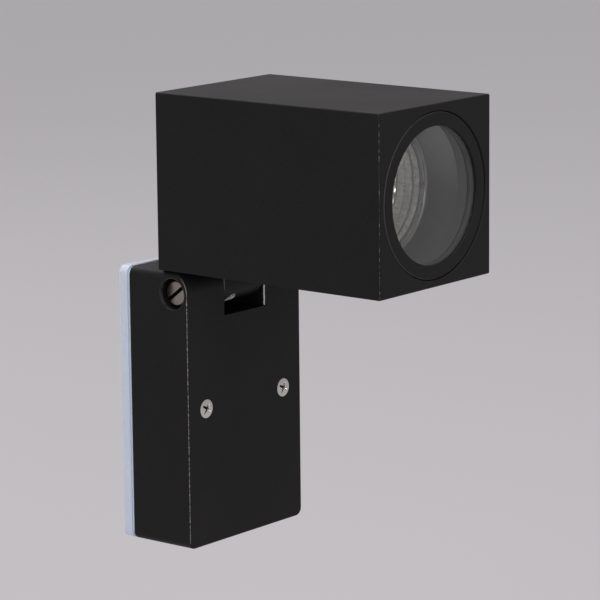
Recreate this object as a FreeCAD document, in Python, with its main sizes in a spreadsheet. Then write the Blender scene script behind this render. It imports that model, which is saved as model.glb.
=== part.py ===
import FreeCAD, Part
import math
import os
import Sketcher

# Pivoting spotlight wall light: a square cast head on a tilting knuckle, over a cast wall base.
# Its frame: the wall is the plane Y = 0, the light stands out along -Y, +Z is up, X is the
# pivot's direction and the origin is the centre of the wall face. Millimetres.

DIMENSIONS = [
    # wall base
    ("base_width", 65.0, "width of the wall base and of the square head"),
    ("base_height", 103.0, "height of the wall base"),
    ("base_depth", 27.5, "base from its rim to its front face"),
    ("base_wall", 3.0, "wall of the base casting"),
    ("base_corner", 3.0, "radius of the base outline's corners"),
    ("base_arris", 0.7, "rounding of the base's front edges"),
    ("cap_radius", 7.5, "rounding of the base's top front edge"),
    ("gasket_thick", 5.0, "seal between wall and base"),
    ("gasket_lip", 1.3, "depth of the seal's inset lip against the base rim"),
    ("gasket_inset", 0.6, "how far the lip stands in from the outline"),
    ("gasket_open_width", 54.0, "opening in the seal"),
    ("gasket_open_height", 92.0, "opening in the seal"),
    # pivot
    ("pivot_setback", 7.0, "pivot axis behind the base's front face"),
    ("pivot_drop", 8.0, "pivot axis below the base's top"),
    ("pivot_boss", 13.8, "diameter of the cast tube round each pivot screw"),
    ("notch_width", 23.0, "hinge notch in the base"),
    ("notch_height", 18.4, "hinge notch below the base's top"),
    ("notch_depth", 15.5, "hinge notch behind the front face"),
    ("notch_wall", 2.5, "wall of the hinge pocket inside the base"),
    ("pivot_screw", 5.0, "shank of the pivot screws"),
    ("pivot_play", 0.08, "radial clearance of shank in the ears"),
    ("thread_play", 0.05, "radial clearance drawn in a threaded hole"),
    ("pivot_tip", 4.9, "pivot screw's tip from the centre plane"),
    ("pivot_head", 9.2, "cheese head diameter"),
    ("pivot_head_height", 3.3, "cheese head height"),
    ("pivot_head_recess", 2.3, "head below the base's side face"),
    ("pivot_slot", 1.4, "driver slot width"),
    ("pivot_slot_depth", 1.8, "driver slot depth"),
    ("pivot_slot_angle", -52.0, "driver slot turned from the vertical"),
    ("counterbore", 11.6, "counterbore for the pivot screw heads"),
    ("spring_washer_thick", 1.1, "split washer under each head"),
    ("spring_washer_size", 9.2, "split washer outer diameter"),
    ("friction_washer_thick", 0.4, "flat washer between ear and knuckle"),
    ("friction_washer_size", 12.0, "flat washer outer diameter"),
    ("seat_gap", 0.1, "gap between pieces that slide on each other"),
    ("knuckle_width", 22.0, "tongue of the head in the notch"),
    ("knuckle_radius", 6.8, "tongue's half thickness and rounded end"),
    ("knuckle_slot", 5.0, "slot in the knuckle for the leads"),
    ("knuckle_slot_reach", 3.2, "slot past the pivot axis"),
    ("lock_screw", 4.0, "set screw that locks the tilt"),
    ("lock_screw_length", 3.2, "set screw length"),
    ("lock_screw_offset", 5.0, "set screw from the centre plane"),
    ("lock_screw_angle", 50.0, "set screw's dip below the horizontal"),
    ("lock_screw_socket", 2.0, "hexagon socket across flats"),
    ("lock_bevel", 0.35, "bevel round the set screw's hole"),
    # cover screws and bracket
    ("cover_screw", 3.5, "cover screw thread"),
    ("cover_screw_head", 6.9, "countersunk head diameter"),
    ("cover_screw_length", 22.0, "cover screw overall"),
    ("cover_screw_spacing", 44.4, "between the two cover screws"),
    ("cover_hole", 3.9, "clearance hole in the base front"),
    ("cover_boss", 8.5, "tube round each cover screw"),
    ("cover_screw_rim", 0.1, "straight rim of the countersunk head"),
    ("cover_screw_sunk", 0.1, "countersunk head below the base's face"),
    ("countersink_play", 0.1, "countersink wider than the head, in radius"),
    ("bracket_thick", 1.5, "steel of the wall bracket"),
    ("bracket_width", 30.0, "upright strap of the bracket"),
    ("bracket_height", 84.0, "upright strap of the bracket"),
    ("wing_span", 52.0, "cross wings of the bracket"),
    ("wing_height", 16.0, "cross wings of the bracket"),
    ("lug_out", 12.0, "lug's back face from the wall"),
    ("lug_reach", 8.0, "lug from the wing's end inwards"),
    ("lug_collar", 6.2, "drawn collar round the lug's thread"),
    ("lug_collar_depth", 1.4, "drawn collar behind the lug"),
    ("slot_inset", 10.0, "wall screw slots from the bracket's ends"),
    ("slot_width", 4.6, "wall screw slot"),
    ("slot_length", 12.0, "wall screw slot end to end"),
    ("cable_hole", 16.0, "cable entry in the bracket"),
    ("cable_height", 12.0, "cable entry above the centre"),
    ("grommet_flange", 20.0, "cable grommet's flange"),
    ("grommet_flange_thick", 1.5, "cable grommet's flange"),
    ("cable_bore", 8.2, "cable grommet's bore"),
    # terminals and earth
    ("block_width", 30.0, "terminal block"),
    ("block_height", 18.0, "terminal block"),
    ("block_thick", 9.0, "terminal block without its screw towers"),
    ("block_drop", 17.0, "terminal block's centre below the middle"),
    ("block_pitch", 10.0, "between terminals"),
    ("tower_size", 7.0, "screw tower"),
    ("tower_height", 4.0, "screw tower"),
    ("tower_spacing", 8.6, "between the two screws of a terminal"),
    ("sleeve_size", 4.6, "brass sleeve of a terminal"),
    ("sleeve_bore", 3.2, "wire hole of a terminal"),
    ("terminal_screw", 3.0, "terminal screw"),
    ("terminal_screw_length", 4.6, "terminal screw"),
    ("block_screw", 3.0, "screw that holds the block"),
    ("block_screw_head", 5.6, "pan head of the block's screw"),
    ("earth_screw", 4.0, "earth screw"),
    ("earth_screw_head", 8.0, "earth screw's pan head"),
    ("earth_screw_length", 7.0, "earth screw under its head"),
    ("earth_post", 8.0, "earth post in the base"),
    ("earth_post_out", 19.0, "earth post's end from the wall"),
    ("earth_x", 17.0, "earth post from the centre plane"),
    ("earth_z", -37.0, "earth post's height"),
    ("tag_thick", 0.8, "ring tag"),
    ("tag_tail", 6.0, "ring tag from its eye's centre to its barrel"),
    ("lead_hole", 8.4, "hole from the base to the hinge pocket"),
    ("lead_hole_drop", 0.6, "that hole below the pivot axis"),
    ("lead_grommet_flange", 10.6, "grommet in that hole"),
    ("lead_grommet_bore", 5.4, "grommet in that hole"),
    ("lead_size", 1.6, "insulated lead"),
    ("lead_bunch", 1.25, "lead's centre from the middle of the bunch"),
    ("lead_break", 1.6, "leads drawn short of the pivot axis, where they bend"),
    # head
    ("head_depth", 101.5, "head from front to rear"),
    ("head_back", 6.5, "head's rear face behind the pivot axis"),
    ("head_gap", 0.3, "head above the base's top"),
    ("head_arris", 0.6, "rounding of the head's edges"),
    ("head_rear_wall", 3.0, "rear wall of the head"),
    ("ring_margin", 2.95, "head's face beside the front ring"),
    ("ring_play", 0.07, "radial clearance of the ring in its recess"),
    ("ring_length", 11.9, "front ring's skirt behind the head's face"),
    ("ring_recess", 0.2, "front ring behind the head's face"),
    ("ring_lip", 0.8, "front ring's lip over the glass"),
    ("ring_rim", 4.95, "front ring's face round its window"),
    ("ring_arris", 0.45, "rounding of the ring's front edge"),
    ("recess_bevel", 0.35, "bevel of the head's recess"),
    ("recess_relief", 0.3, "recess's mouth wider than its seat, in radius"),
    ("recess_relief_depth", 2.0, "recess's wider mouth"),
    ("ring_wall", 2.55, "front ring's skirt round the glass, with the glass's clearance"),
    ("glass_thick", 3.0, "lens glass"),
    ("glass_play", 0.1, "radial clearance of the glass in the ring"),
    ("glass_seal_thick", 1.2, "flat seal behind the glass"),
    ("retainer_wire", 1.2, "snap ring behind the seal"),
    ("retainer_gap", 9.0, "opening of the snap ring"),
    ("oring_section", 1.5, "seal between ring and head"),
    ("oring_groove_at", 8.6, "groove behind the head's face"),
    ("oring_groove_width", 2.0, "groove for the O-ring"),
    ("oring_groove_depth", 1.5, "groove for the O-ring"),
    ("bore_step", 1.95, "head's bore smaller than the front ring, in radius"),
    ("bore_depth", 62.0, "bore behind the head's face"),
    ("rear_bore_size", 46.0, "rear chamber of the head"),
    ("pillar_size", 7.0, "strap pillars on the rear wall"),
    ("pillar_spacing", 36.4, "between the strap pillars"),
    ("strap_screw", 3.0, "strap screws"),
    ("strap_screw_head", 5.6, "strap screws' pan head"),
    ("strap_screw_length", 8.0, "strap screws under the head"),
    ("strap_thick", 1.5, "holder strap"),
    ("strap_height", 15.0, "holder strap"),
    ("strap_window", 15.0, "hole in the strap for the leads"),
    ("strap_play", 0.3, "strap ends inside the rear chamber"),
    # lamp and lampholder
    ("lamp_setback", 23.0, "lamp's rim behind the head's face"),
    ("lamp_clearance", 2.6, "air round the reflector lamp in the head's bore"),
    ("lamp_rim", 3.0, "cylindrical rim of the reflector"),
    ("reflector_depth", 32.0, "reflector from rim to neck"),
    ("reflector_neck", 24.0, "reflector's neck diameter"),
    ("reflector_curve", 30.0, "radius of the reflector's side"),
    ("reflector_wall", 2.0, "wall of the reflector"),
    ("lamp_glass_thick", 2.0, "lamp's front glass"),
    ("lamp_glass_recess", 0.8, "lamp's front glass behind its rim"),
    ("lamp_base_size", 26.0, "lamp's ceramic base"),
    ("lamp_base_flat", 17.0, "base across its flats"),
    ("lamp_base_depth", 14.0, "base from neck to pin face"),
    ("burner_size", 9.0, "quartz burner"),
    ("burner_length", 17.0, "quartz burner"),
    ("pin_spacing", 10.0, "between the two lamp pins"),
    ("pin_size", 3.0, "pin's neck"),
    ("pin_head", 5.0, "pin's foot"),
    ("pin_length", 6.6, "pin from the base"),
    ("pin_head_height", 2.4, "pin's foot"),
    ("holder_size", 30.0, "lampholder"),
    ("holder_depth", 14.0, "lampholder"),
    ("holder_gap", 0.3, "between lamp base and lampholder"),
    ("holder_plate", 3.0, "front plate of the lampholder over the pin feet"),
    ("holder_cavity", 4.4, "space for the pin feet behind the plate"),
    ("pin_play", 0.3, "clearance of the pins in the lampholder"),
    ("lamp_turn", 22.0, "turn that frees the lamp"),
    ("holder_screw", 3.0, "screws through the lampholder"),
    ("holder_screw_head", 5.4, "screws through the lampholder"),
    ("holder_screw_spacing", 20.0, "between the lampholder's screws"),
    ("contact_thick", 0.6, "contact springs in the lampholder"),
    ("channel", 6.0, "lead channel through the tongue"),
    ("channel_sleeve_bore", 4.8, "sleeve that lines the channel"),
    ("channel_sleeve_play", 0.1, "radial clearance of that sleeve"),
]

BIG = 1.0  # how far a cut runs past the face it opens


class Size:
    """A number together with the sheet formula that it comes from."""

    def __init__(self, value, formula):
        self.value = float(value)
        self.formula = formula

    def __add__(self, other):
        other = size(other)
        return Size(self.value + other.value, f"({self.formula} + {other.formula})")

    def __sub__(self, other):
        other = size(other)
        return Size(self.value - other.value, f"({self.formula} - {other.formula})")

    def __mul__(self, other):
        other = size(other)
        return Size(self.value * other.value, f"({self.formula} * {other.formula})")

    def __truediv__(self, other):
        other = size(other)
        return Size(self.value / other.value, f"({self.formula} / {other.formula})")

    def __neg__(self):
        return Size(-self.value, f"(0 - {self.formula})")

    def __radd__(self, other):
        return size(other) + self

    def __rsub__(self, other):
        return size(other) - self

    def __rmul__(self, other):
        return size(other) * self


def size(number):
    return number if isinstance(number, Size) else Size(number, f"{float(number):.6g}")


doc = FreeCAD.newDocument("wall_spotlight")
sheet = doc.addObject("Spreadsheet::Sheet", "Sizes")
sheet.Label = "driving dimensions"


class Named:
    """The driving dimensions, each under its own name."""


n = Named()
for row, (alias, value, note) in enumerate(DIMENSIONS, 1):
    sheet.set(f"A{row}", note)
    sheet.set(f"B{row}", str(value))
    sheet.setAlias(f"B{row}", alias)
    setattr(n, alias, Size(value, f"Sizes.{alias}"))
doc.recompute()

V = FreeCAD.Vector
nodes = {}


# ---------------------------------------------------------------- drawing helpers

def new_body(label):
    body = doc.addObject("PartDesign::Body", label)
    body.Label = label
    return body


def piece(label, obj):
    obj.Label = label
    nodes[label] = obj
    return obj


def new_sketch(body, name, plane, start=0.0):
    """Sketch on one of the body's own planes, moved along the plane's normal."""
    sketch = body.newObject("Sketcher::SketchObject", name)
    for feature in body.Origin.OriginFeatures:
        if feature.Role == plane:
            sketch.AttachmentSupport = [(feature, "")]
    sketch.MapMode = "FlatFace"
    start = size(start)
    sketch.AttachmentOffset = FreeCAD.Placement(V(0, 0, start.value), FreeCAD.Rotation())
    sketch.setExpression("AttachmentOffset.Base.z", start.formula)
    return sketch


def bind_constraint(sketch, constraint, formula):
    index = sketch.addConstraint(constraint)
    sketch.setExpression(f"Constraints[{index}]", formula)


def hold(sketch, geometry, point, x, y):
    """Hold a point of the sketch at x, y from the sketch's origin."""
    for axis, coordinate in (("X", size(x)), ("Y", size(y))):
        if coordinate.formula == "0":
            line = -2 if axis == "X" else -1
            sketch.addConstraint(Sketcher.Constraint("PointOnObject", geometry, point, line))
        else:
            constraint = Sketcher.Constraint(
                f"Distance{axis}", -1, 1, geometry, point, coordinate.value)
            bind_constraint(sketch, constraint, coordinate.formula)


def outline(sketch, points):
    """Closed loop. A point is (x, y), or (x, y, radius, side) where an arc leaves it."""
    spots = [V(size(p[0]).value, size(p[1]).value, 0) for p in points]
    ends = []
    for number, point in enumerate(points):
        start, finish = spots[number], spots[(number + 1) % len(points)]
        if len(point) == 2:
            index = sketch.addGeometry(Part.LineSegment(start, finish), False)
            ends.append((index, 1, 2))
            continue
        radius, side = size(point[2]), point[3]
        chord = finish - start
        middle = (start + finish) * 0.5
        normal = V(-chord.y, chord.x, 0).normalize()
        drop = math.sqrt(max(radius.value ** 2 - (chord.Length / 2) ** 2, 0.0))
        centre = middle + normal * drop * side
        across = middle - centre
        away = across.normalize() if across.Length > 1e-6 else normal * -side
        index = sketch.addGeometry(
            Part.Arc(start, centre + away * radius.value, finish), False)
        first = 1 if (sketch.getPoint(index, 1) - start).Length < 1e-6 else 2
        ends.append((index, first, 3 - first))
        if drop < 1e-3:
            # half a circle: its centre stays halfway between its ends
            sketch.addConstraint(Sketcher.Constraint("Symmetric", index, 1, index, 2, index, 3))
        else:
            bind_constraint(sketch, Sketcher.Constraint("Radius", index, radius.value),
                            radius.formula)
    for number, (index, _, last) in enumerate(ends):
        following, first, _ = ends[(number + 1) % len(ends)]
        sketch.addConstraint(Sketcher.Constraint("Coincident", index, last, following, first))
    for point, (index, first, _) in zip(points, ends):
        hold(sketch, index, first, point[0], point[1])


def rectangle(low_x, low_y, high_x, high_y):
    return [(low_x, low_y), (high_x, low_y), (high_x, high_y), (low_x, high_y)]


def extrude(body, sketch, length, cut):
    kind = "PartDesign::Pocket" if cut else "PartDesign::Pad"
    before = body.Tip.Shape.Volume if cut else 0.0
    feature = body.newObject(kind, sketch.Name + ("_cut" if cut else "_pad"))
    feature.Profile = sketch
    feature.Reversed = bool(cut)
    feature.Length = size(length).value
    feature.setExpression("Length", size(length).formula)
    doc.recompute()
    if cut and not feature.Shape.Volume < before - 1e-6:
        raise RuntimeError(f"{feature.Name} cuts nothing")
    return feature


def prism(body, name, plane, points, start, length, cut=False):
    sketch = new_sketch(body, name, plane, start)
    outline(sketch, points)
    return extrude(body, sketch, length, cut)


def rounds(body, name, plane, circles, start, length, cut=False):
    """Round posts or holes; each circle is (x, y, diameter) in the plane."""
    sketch = new_sketch(body, name, plane, start)
    for x, y, diameter in circles:
        x, y, diameter = size(x), size(y), size(diameter)
        circle = Part.Circle(V(x.value, y.value, 0), V(0, 0, 1), diameter.value / 2)
        index = sketch.addGeometry(circle, False)
        bind_constraint(sketch, Sketcher.Constraint("Diameter", index, diameter.value),
                        diameter.formula)
        hold(sketch, index, 3, x, y)
    return extrude(body, sketch, length, cut)


def turned(body, name, points, cut=False):
    """Turn a half profile, (radius, height), about the body's own Z axis."""
    sketch = new_sketch(body, name, "XZ_Plane")
    outline(sketch, points)
    kind = "PartDesign::Groove" if cut else "PartDesign::Revolution"
    feature = body.newObject(kind, name + "_turned")
    feature.Profile = sketch
    feature.ReferenceAxis = (sketch, ["V_Axis"])
    feature.Angle = 360
    doc.recompute()
    return feature


def soften(body, name, chosen, radius, kind="PartDesign::Fillet"):
    """Round or bevel the edges of the body that the test chooses."""
    edges = body.Tip.Shape.Edges
    names = [f"Edge{i}" for i, edge in enumerate(edges, 1) if chosen(edge)]
    if not names:
        raise RuntimeError(f"{name} finds no edge")
    base = body.Tip
    feature = body.newObject(kind, name)
    feature.Base = (base, names)
    prop = "Radius" if kind.endswith("Fillet") else "Size"
    setattr(feature, prop, size(radius).value)
    feature.setExpression(prop, size(radius).formula)
    doc.recompute()
    return feature


def span(edge, axis):
    """Lowest and highest coordinate of an edge along x, y or z."""
    box = edge.BoundBox
    return getattr(box, axis.upper() + "Min"), getattr(box, axis.upper() + "Max")


def lies_at(edge, axis, coordinate, slack=1e-4):
    low, high = span(edge, axis)
    return abs(low - size(coordinate).value) < slack and abs(high - size(coordinate).value) < slack


def runs_along(edge, axis):
    """True for a straight edge parallel to the axis."""
    others = [other for other in "xyz" if other != axis]
    return all(span(edge, o)[1] - span(edge, o)[0] < 1e-4 for o in others)


OUTWARDS = FreeCAD.Rotation(V(1, 0, 0), 90)     # a piece's own +Z points out of the wall
LEFTWARDS = FreeCAD.Rotation(V(0, 1, 0), -90)   # a piece's own +Z points to -X
INWARDS = FreeCAD.Rotation(V(1, 0, 0), -90)     # a piece's own +Z points at the wall


def place(obj, x, y, z, rotation=FreeCAD.Rotation()):
    spot = [size(x), size(y), size(z)]
    obj.Placement = FreeCAD.Placement(V(*[c.value for c in spot]), rotation)
    for axis, coordinate in zip("xyz", spot):
        obj.setExpression(f"Placement.Base.{axis}", coordinate.formula)
    return obj


def group(label, members):
    compound = doc.addObject("Part::Compound", label)
    compound.Links = members
    return piece(label, compound)


def mirrored_pair(label, body):
    """The piece and its mirror image across the centre plane, as one node."""
    twin = doc.addObject("Part::Mirroring", label + "_twin")
    twin.Source = body
    twin.Normal = V(1, 0, 0)
    doc.recompute()
    return group(label, [body, twin])


# ---------------------------------------------------------------- places shared by the pieces

base_front = n.gasket_thick + n.base_depth              # front face from the wall
base_top = n.base_height / 2
pivot_out = base_front - n.pivot_setback
pivot_z = base_top - n.pivot_drop
lead_z = pivot_z - n.lead_hole_drop                     # bunch of leads in the hinge pocket
knuckle_side = n.knuckle_width / 2
ear_side = n.notch_width / 2
counterbore_depth = (n.pivot_head_recess + n.pivot_head_height
                     + n.spring_washer_thick + n.seat_gap)
pocket_back = base_front - n.notch_depth                # hinge pocket's rear face from the wall
head_floor = base_top + n.head_gap                      # underside of the head
head_axis = head_floor + n.base_width / 2
head_rear = pivot_out - n.head_back                     # rear face of the head from the wall
head_front = head_rear + n.head_depth
pivot_screw_length = n.base_width / 2 - n.pivot_tip - n.pivot_head_recess - n.pivot_head_height
slot_spacing = n.bracket_height - 2 * n.slot_inset
ring_size = n.base_width - 2 * n.ring_margin
ring_window = ring_size - 2 * n.ring_rim
glass_size = ring_size - 2 * n.ring_wall
bore_size = ring_size - 2 * n.bore_step
lamp_size = bore_size - 2 * n.lamp_clearance
ring_seat = ring_size / 2 + n.ring_play
glass_front = n.ring_recess + n.ring_lip
seal_front = glass_front + n.glass_thick
lamp_length = n.reflector_depth + n.lamp_base_depth     # rim to pin face
holder_front = n.lamp_setback + lamp_length + n.holder_gap
holder_rear = holder_front + n.holder_depth
strap_rear = holder_rear + n.strap_thick
chamber_rear = n.head_depth - n.head_rear_wall
lug_front = n.lug_out + n.bracket_thick
block_front = n.bracket_thick + n.block_thick


def in_head(obj, depth=0.0, rotation=OUTWARDS):
    """Place a piece on the head's axis, at a depth behind the head's front face."""
    return place(obj, 0, -(head_front - depth), head_axis, rotation)


# ---------------------------------------------------------------- wall side

def wall_gasket():
    body = new_body("wall_gasket")
    half_w, half_h = n.base_width / 2, n.base_height / 2
    prism(body, "outer", "XZ_Plane", rectangle(-half_w, -half_h, half_w, half_h),
          0, n.gasket_thick - n.gasket_lip)
    lip_w, lip_h = half_w - n.gasket_inset, half_h - n.gasket_inset
    prism(body, "lip", "XZ_Plane", rectangle(-lip_w, -lip_h, lip_w, lip_h),
          n.gasket_thick - n.gasket_lip, n.gasket_lip)
    soften(body, "outline_corners",
           lambda e: runs_along(e, "y") and abs(e.CenterOfMass.x) > n.base_width.value / 2 - 1,
           n.base_corner)
    open_w, open_h = n.gasket_open_width / 2, n.gasket_open_height / 2
    prism(body, "opening", "XZ_Plane", rectangle(-open_w, -open_h, open_w, open_h),
          -BIG, n.gasket_thick + 2 * BIG, cut=True)
    soften(body, "opening_corners",
           lambda e: runs_along(e, "y") and abs(abs(e.CenterOfMass.x) - open_w.value) < 1e-3,
           n.base_corner / 2)
    return piece("wall_gasket", body)


def mounting_bracket():
    body = new_body("mounting_bracket")
    thick = n.bracket_thick
    half_w, half_h = n.bracket_width / 2, n.bracket_height / 2
    wing, wing_h = n.wing_span / 2, n.wing_height / 2
    prism(body, "upright", "XZ_Plane", rectangle(-half_w, -half_h, half_w, half_h), 0, thick)
    soften(body, "upright_corners", lambda e: runs_along(e, "y"), 2 * thick)
    prism(body, "wings", "XZ_Plane", rectangle(-wing, -wing_h, wing, wing_h), 0, thick)
    for side, word in ((-1, "left"), (1, "right")):
        # bent up at the wing's end, then folded inwards into the lug
        leg = rectangle(side * (wing - thick), -wing_h, side * wing, wing_h)
        lug = rectangle(side * (wing - n.lug_reach), -wing_h, side * wing, wing_h)
        prism(body, f"leg_{word}", "XZ_Plane", leg, thick, n.lug_out - thick)
        prism(body, f"lug_{word}", "XZ_Plane", lug, n.lug_out, thick)
    soften(body, "lug_corners",
           lambda e: runs_along(e, "y")
           and abs(abs(e.CenterOfMass.x) - (wing - n.lug_reach).value) < 1e-3, thick)
    soften(body, "bends",
           lambda e: runs_along(e, "z") and abs(abs(e.CenterOfMass.x) - wing.value) < 1e-3
           and (lies_at(e, "y", 0) or lies_at(e, "y", -lug_front)), 0.8 * thick)
    screw_x = n.cover_screw_spacing / 2
    spots = [(-screw_x, 0, n.lug_collar), (screw_x, 0, n.lug_collar)]
    rounds(body, "collars", "XZ_Plane", spots, n.lug_out - n.lug_collar_depth,
           n.lug_collar_depth)
    thread = n.cover_screw + 2 * n.thread_play
    rounds(body, "lug_threads", "XZ_Plane", [(-screw_x, 0, thread), (screw_x, 0, thread)],
           n.lug_out - n.lug_collar_depth - BIG, n.lug_collar_depth + thick + 2 * BIG, cut=True)
    rounds(body, "cable_hole", "XZ_Plane", [(0, n.cable_height, n.cable_hole)],
           -BIG, thick + 2 * BIG, cut=True)
    rounds(body, "block_thread", "XZ_Plane",
           [(n.block_pitch / 2, -n.block_drop, n.block_screw + 2 * n.thread_play)],
           -BIG, thick + 2 * BIG, cut=True)
    reach = (n.slot_length - n.slot_width) / 2
    for side, word in ((-1, "low"), (1, "high")):
        middle = side * slot_spacing / 2
        ends = [(0, middle - reach, n.slot_width), (0, middle + reach, n.slot_width)]
        rounds(body, f"slot_ends_{word}", "XZ_Plane", ends, -BIG, thick + 2 * BIG, cut=True)
        straight = rectangle(-n.slot_width / 2, middle - reach, n.slot_width / 2, middle + reach)
        prism(body, f"slot_{word}", "XZ_Plane", straight, -BIG, thick + 2 * BIG, cut=True)
    return piece("mounting_bracket", body)


def cable_grommet():
    body = new_body("cable_grommet")
    bore, neck = n.cable_bore / 2, n.cable_hole / 2 - n.seat_gap
    flange = n.grommet_flange / 2
    top = n.bracket_thick + n.grommet_flange_thick
    turned(body, "section", [
        (bore, 0), (neck, 0), (neck, n.bracket_thick), (flange, n.bracket_thick),
        (flange, top - n.grommet_flange_thick / 2), (flange - n.grommet_flange_thick, top),
        (bore, top)])
    place(body, 0, 0, n.cable_height, OUTWARDS)
    return piece("cable_grommet", body)


# ---------------------------------------------------------------- base

def base_housing():
    body = new_body("base_housing")
    half_w, half_h = n.base_width / 2, n.base_height / 2
    inner_w, inner_h = half_w - n.base_wall, half_h - n.base_wall
    inner_front = base_front - n.base_wall
    prism(body, "block", "XZ_Plane", rectangle(-half_w, -half_h, half_w, half_h),
          n.gasket_thick, n.base_depth)
    soften(body, "outline_corners", lambda e: runs_along(e, "y"), n.base_corner)
    soften(body, "front_arris", lambda e: lies_at(e, "y", -base_front), n.base_arris)
    # the top front edge is rounded about the pivot: everything outside the arc comes off
    cap = [(-base_front, base_top - n.cap_radius, n.cap_radius, -1),
           (-(base_front - n.cap_radius), base_top),
           (-(base_front - n.cap_radius), base_top + BIG),
           (-(base_front + BIG), base_top + BIG),
           (-(base_front + BIG), base_top - n.cap_radius)]
    prism(body, "cap", "YZ_Plane", cap, -half_w - BIG, n.base_width + 2 * BIG, cut=True)
    prism(body, "cavity", "YZ_Plane",
          rectangle(-inner_front, -inner_h, BIG, inner_h), -inner_w, 2 * inner_w, cut=True)
    soften(body, "cavity_cap",
           lambda e: runs_along(e, "x") and lies_at(e, "y", -inner_front)
           and e.CenterOfMass.z > 0, n.cap_radius - n.base_wall)
    # hinge pocket, and the cast tubes that carry the pivot screws to it
    block_w = ear_side + n.notch_wall
    prism(body, "pocket_block", "XZ_Plane",
          rectangle(-block_w, base_top - n.notch_height - n.notch_wall,
                    block_w, base_top - n.base_wall),
          pocket_back - n.notch_wall, inner_front - pocket_back + n.notch_wall)
    rounds(body, "pivot_tubes", "YZ_Plane", [(-pivot_out, pivot_z, n.pivot_boss)],
           -inner_w, 2 * inner_w)
    prism(body, "notch", "XZ_Plane",
          rectangle(-ear_side, base_top - n.notch_height, ear_side, base_top + BIG),
          pocket_back, n.notch_depth + BIG, cut=True)
    rounds(body, "pivot_holes", "YZ_Plane",
           [(-pivot_out, pivot_z, n.pivot_screw + 2 * n.pivot_play)],
           -half_w - BIG, n.base_width + 2 * BIG, cut=True)
    rounds(body, "counterbore_left", "YZ_Plane", [(-pivot_out, pivot_z, n.counterbore)],
           -half_w - BIG, counterbore_depth + BIG, cut=True)
    rounds(body, "counterbore_right", "YZ_Plane", [(-pivot_out, pivot_z, n.counterbore)],
           half_w - counterbore_depth, counterbore_depth + BIG, cut=True)
    # tubes round the cover screws, down to the bracket's lugs
    screw_x = n.cover_screw_spacing / 2
    tube_end = lug_front + n.seat_gap
    rounds(body, "cover_tubes", "XZ_Plane",
           [(-screw_x, 0, n.cover_boss), (screw_x, 0, n.cover_boss)],
           tube_end, inner_front - tube_end)
    rounds(body, "cover_holes", "XZ_Plane",
           [(-screw_x, 0, n.cover_hole), (screw_x, 0, n.cover_hole)],
           tube_end - BIG, base_front - tube_end + 2 * BIG, cut=True)
    rim = (n.cover_screw_head / 2 + n.cover_screw_rim + n.cover_screw_sunk
           + n.countersink_play - n.cover_hole / 2)
    soften(body, "countersinks",
           lambda e: lies_at(e, "y", -base_front) and len(e.Vertexes) == 1
           and abs(e.CenterOfMass.z) < 1, rim, "PartDesign::Chamfer")
    rounds(body, "lead_hole", "XZ_Plane", [(0, lead_z, n.lead_hole)],
           pocket_back - n.notch_wall - BIG, n.notch_wall + 2 * BIG, cut=True)
    rounds(body, "earth_post", "XZ_Plane", [(n.earth_x, n.earth_z, n.earth_post)],
           n.earth_post_out, inner_front - n.earth_post_out)
    rounds(body, "earth_thread", "XZ_Plane",
           [(n.earth_x, n.earth_z, n.earth_screw + 2 * n.thread_play)],
           n.earth_post_out - BIG, n.earth_screw_length + 2 * BIG, cut=True)
    return piece("base_housing", body)


def screw(label, thread, length, head, height, countersunk=False):
    """A screw along its own Z axis: head top at z = 0, tip at z = -(height + length)."""
    body = new_body(label)
    shank, crown = thread / 2, head / 2
    tip = height + length
    if countersunk:
        rim = n.cover_screw_rim
        points = [(0, 0), (crown, 0), (crown, -rim), (shank, -(rim + crown - shank)),
                  (shank, -(tip - 0.4)), (shank - 0.4, -tip), (0, -tip)]
    else:
        edge = 0.4
        points = [(0, 0), (crown - edge, 0), (crown, -edge), (crown, -height),
                  (shank, -height), (shank, -(tip - 0.4)), (shank - 0.4, -tip), (0, -tip)]
    turned(body, "profile", points)
    return body


def slot(body, width, depth, reach):
    prism(body, "slot", "XY_Plane",
          rectangle(-reach, -width / 2, reach, width / 2), -depth, depth + BIG, cut=True)


def cross_recess(body, reach, depth):
    """Crossed recess of a screw head: a plus sign with arms a fifth as wide as long."""
    arm = reach * 0.3
    points = [(reach, -arm), (reach, arm), (arm, arm), (arm, reach), (-arm, reach), (-arm, arm),
              (-reach, arm), (-reach, -arm), (-arm, -arm), (-arm, -reach), (arm, -reach),
              (arm, -arm)]
    prism(body, "recess", "XY_Plane", points, -depth, depth + BIG, cut=True)


def cover_screws():
    length = n.cover_screw_length
    body = screw("cover_screw_left", n.cover_screw, length, n.cover_screw_head, 0.0,
                 countersunk=True)
    cross_recess(body, n.cover_screw_head * 0.29, n.cover_screw * 0.5)
    place(body, -n.cover_screw_spacing / 2, -(base_front - n.cover_screw_sunk), 0, OUTWARDS)
    return mirrored_pair("cover_screws", body)


def pivot_screws():
    body = screw("pivot_screw_left", n.pivot_screw, pivot_screw_length, n.pivot_head,
                 n.pivot_head_height)
    slot(body, n.pivot_slot, n.pivot_slot_depth, n.pivot_head)
    turn = LEFTWARDS.multiply(FreeCAD.Rotation(V(0, 0, 1), n.pivot_slot_angle.value))
    place(body, -(n.base_width / 2 - n.pivot_head_recess), -pivot_out, pivot_z, turn)
    return mirrored_pair("pivot_screws", body)


def washer(label, outer, inner, thick):
    body = new_body(label)
    turned(body, "section", rectangle(inner / 2, 0, outer / 2, thick))
    return body


def pivot_spring_washers():
    body = washer("spring_washer_left", n.spring_washer_size,
                  n.pivot_screw + 4 * n.pivot_play, n.spring_washer_thick)
    half = n.spring_washer_thick * 0.4
    prism(body, "split", "XY_Plane", rectangle(0, -half, n.spring_washer_size, half),
          -BIG, n.spring_washer_thick + 2 * BIG, cut=True)
    place(body, -(n.base_width / 2 - counterbore_depth), -pivot_out, pivot_z, LEFTWARDS)
    return mirrored_pair("pivot_spring_washers", body)


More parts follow.
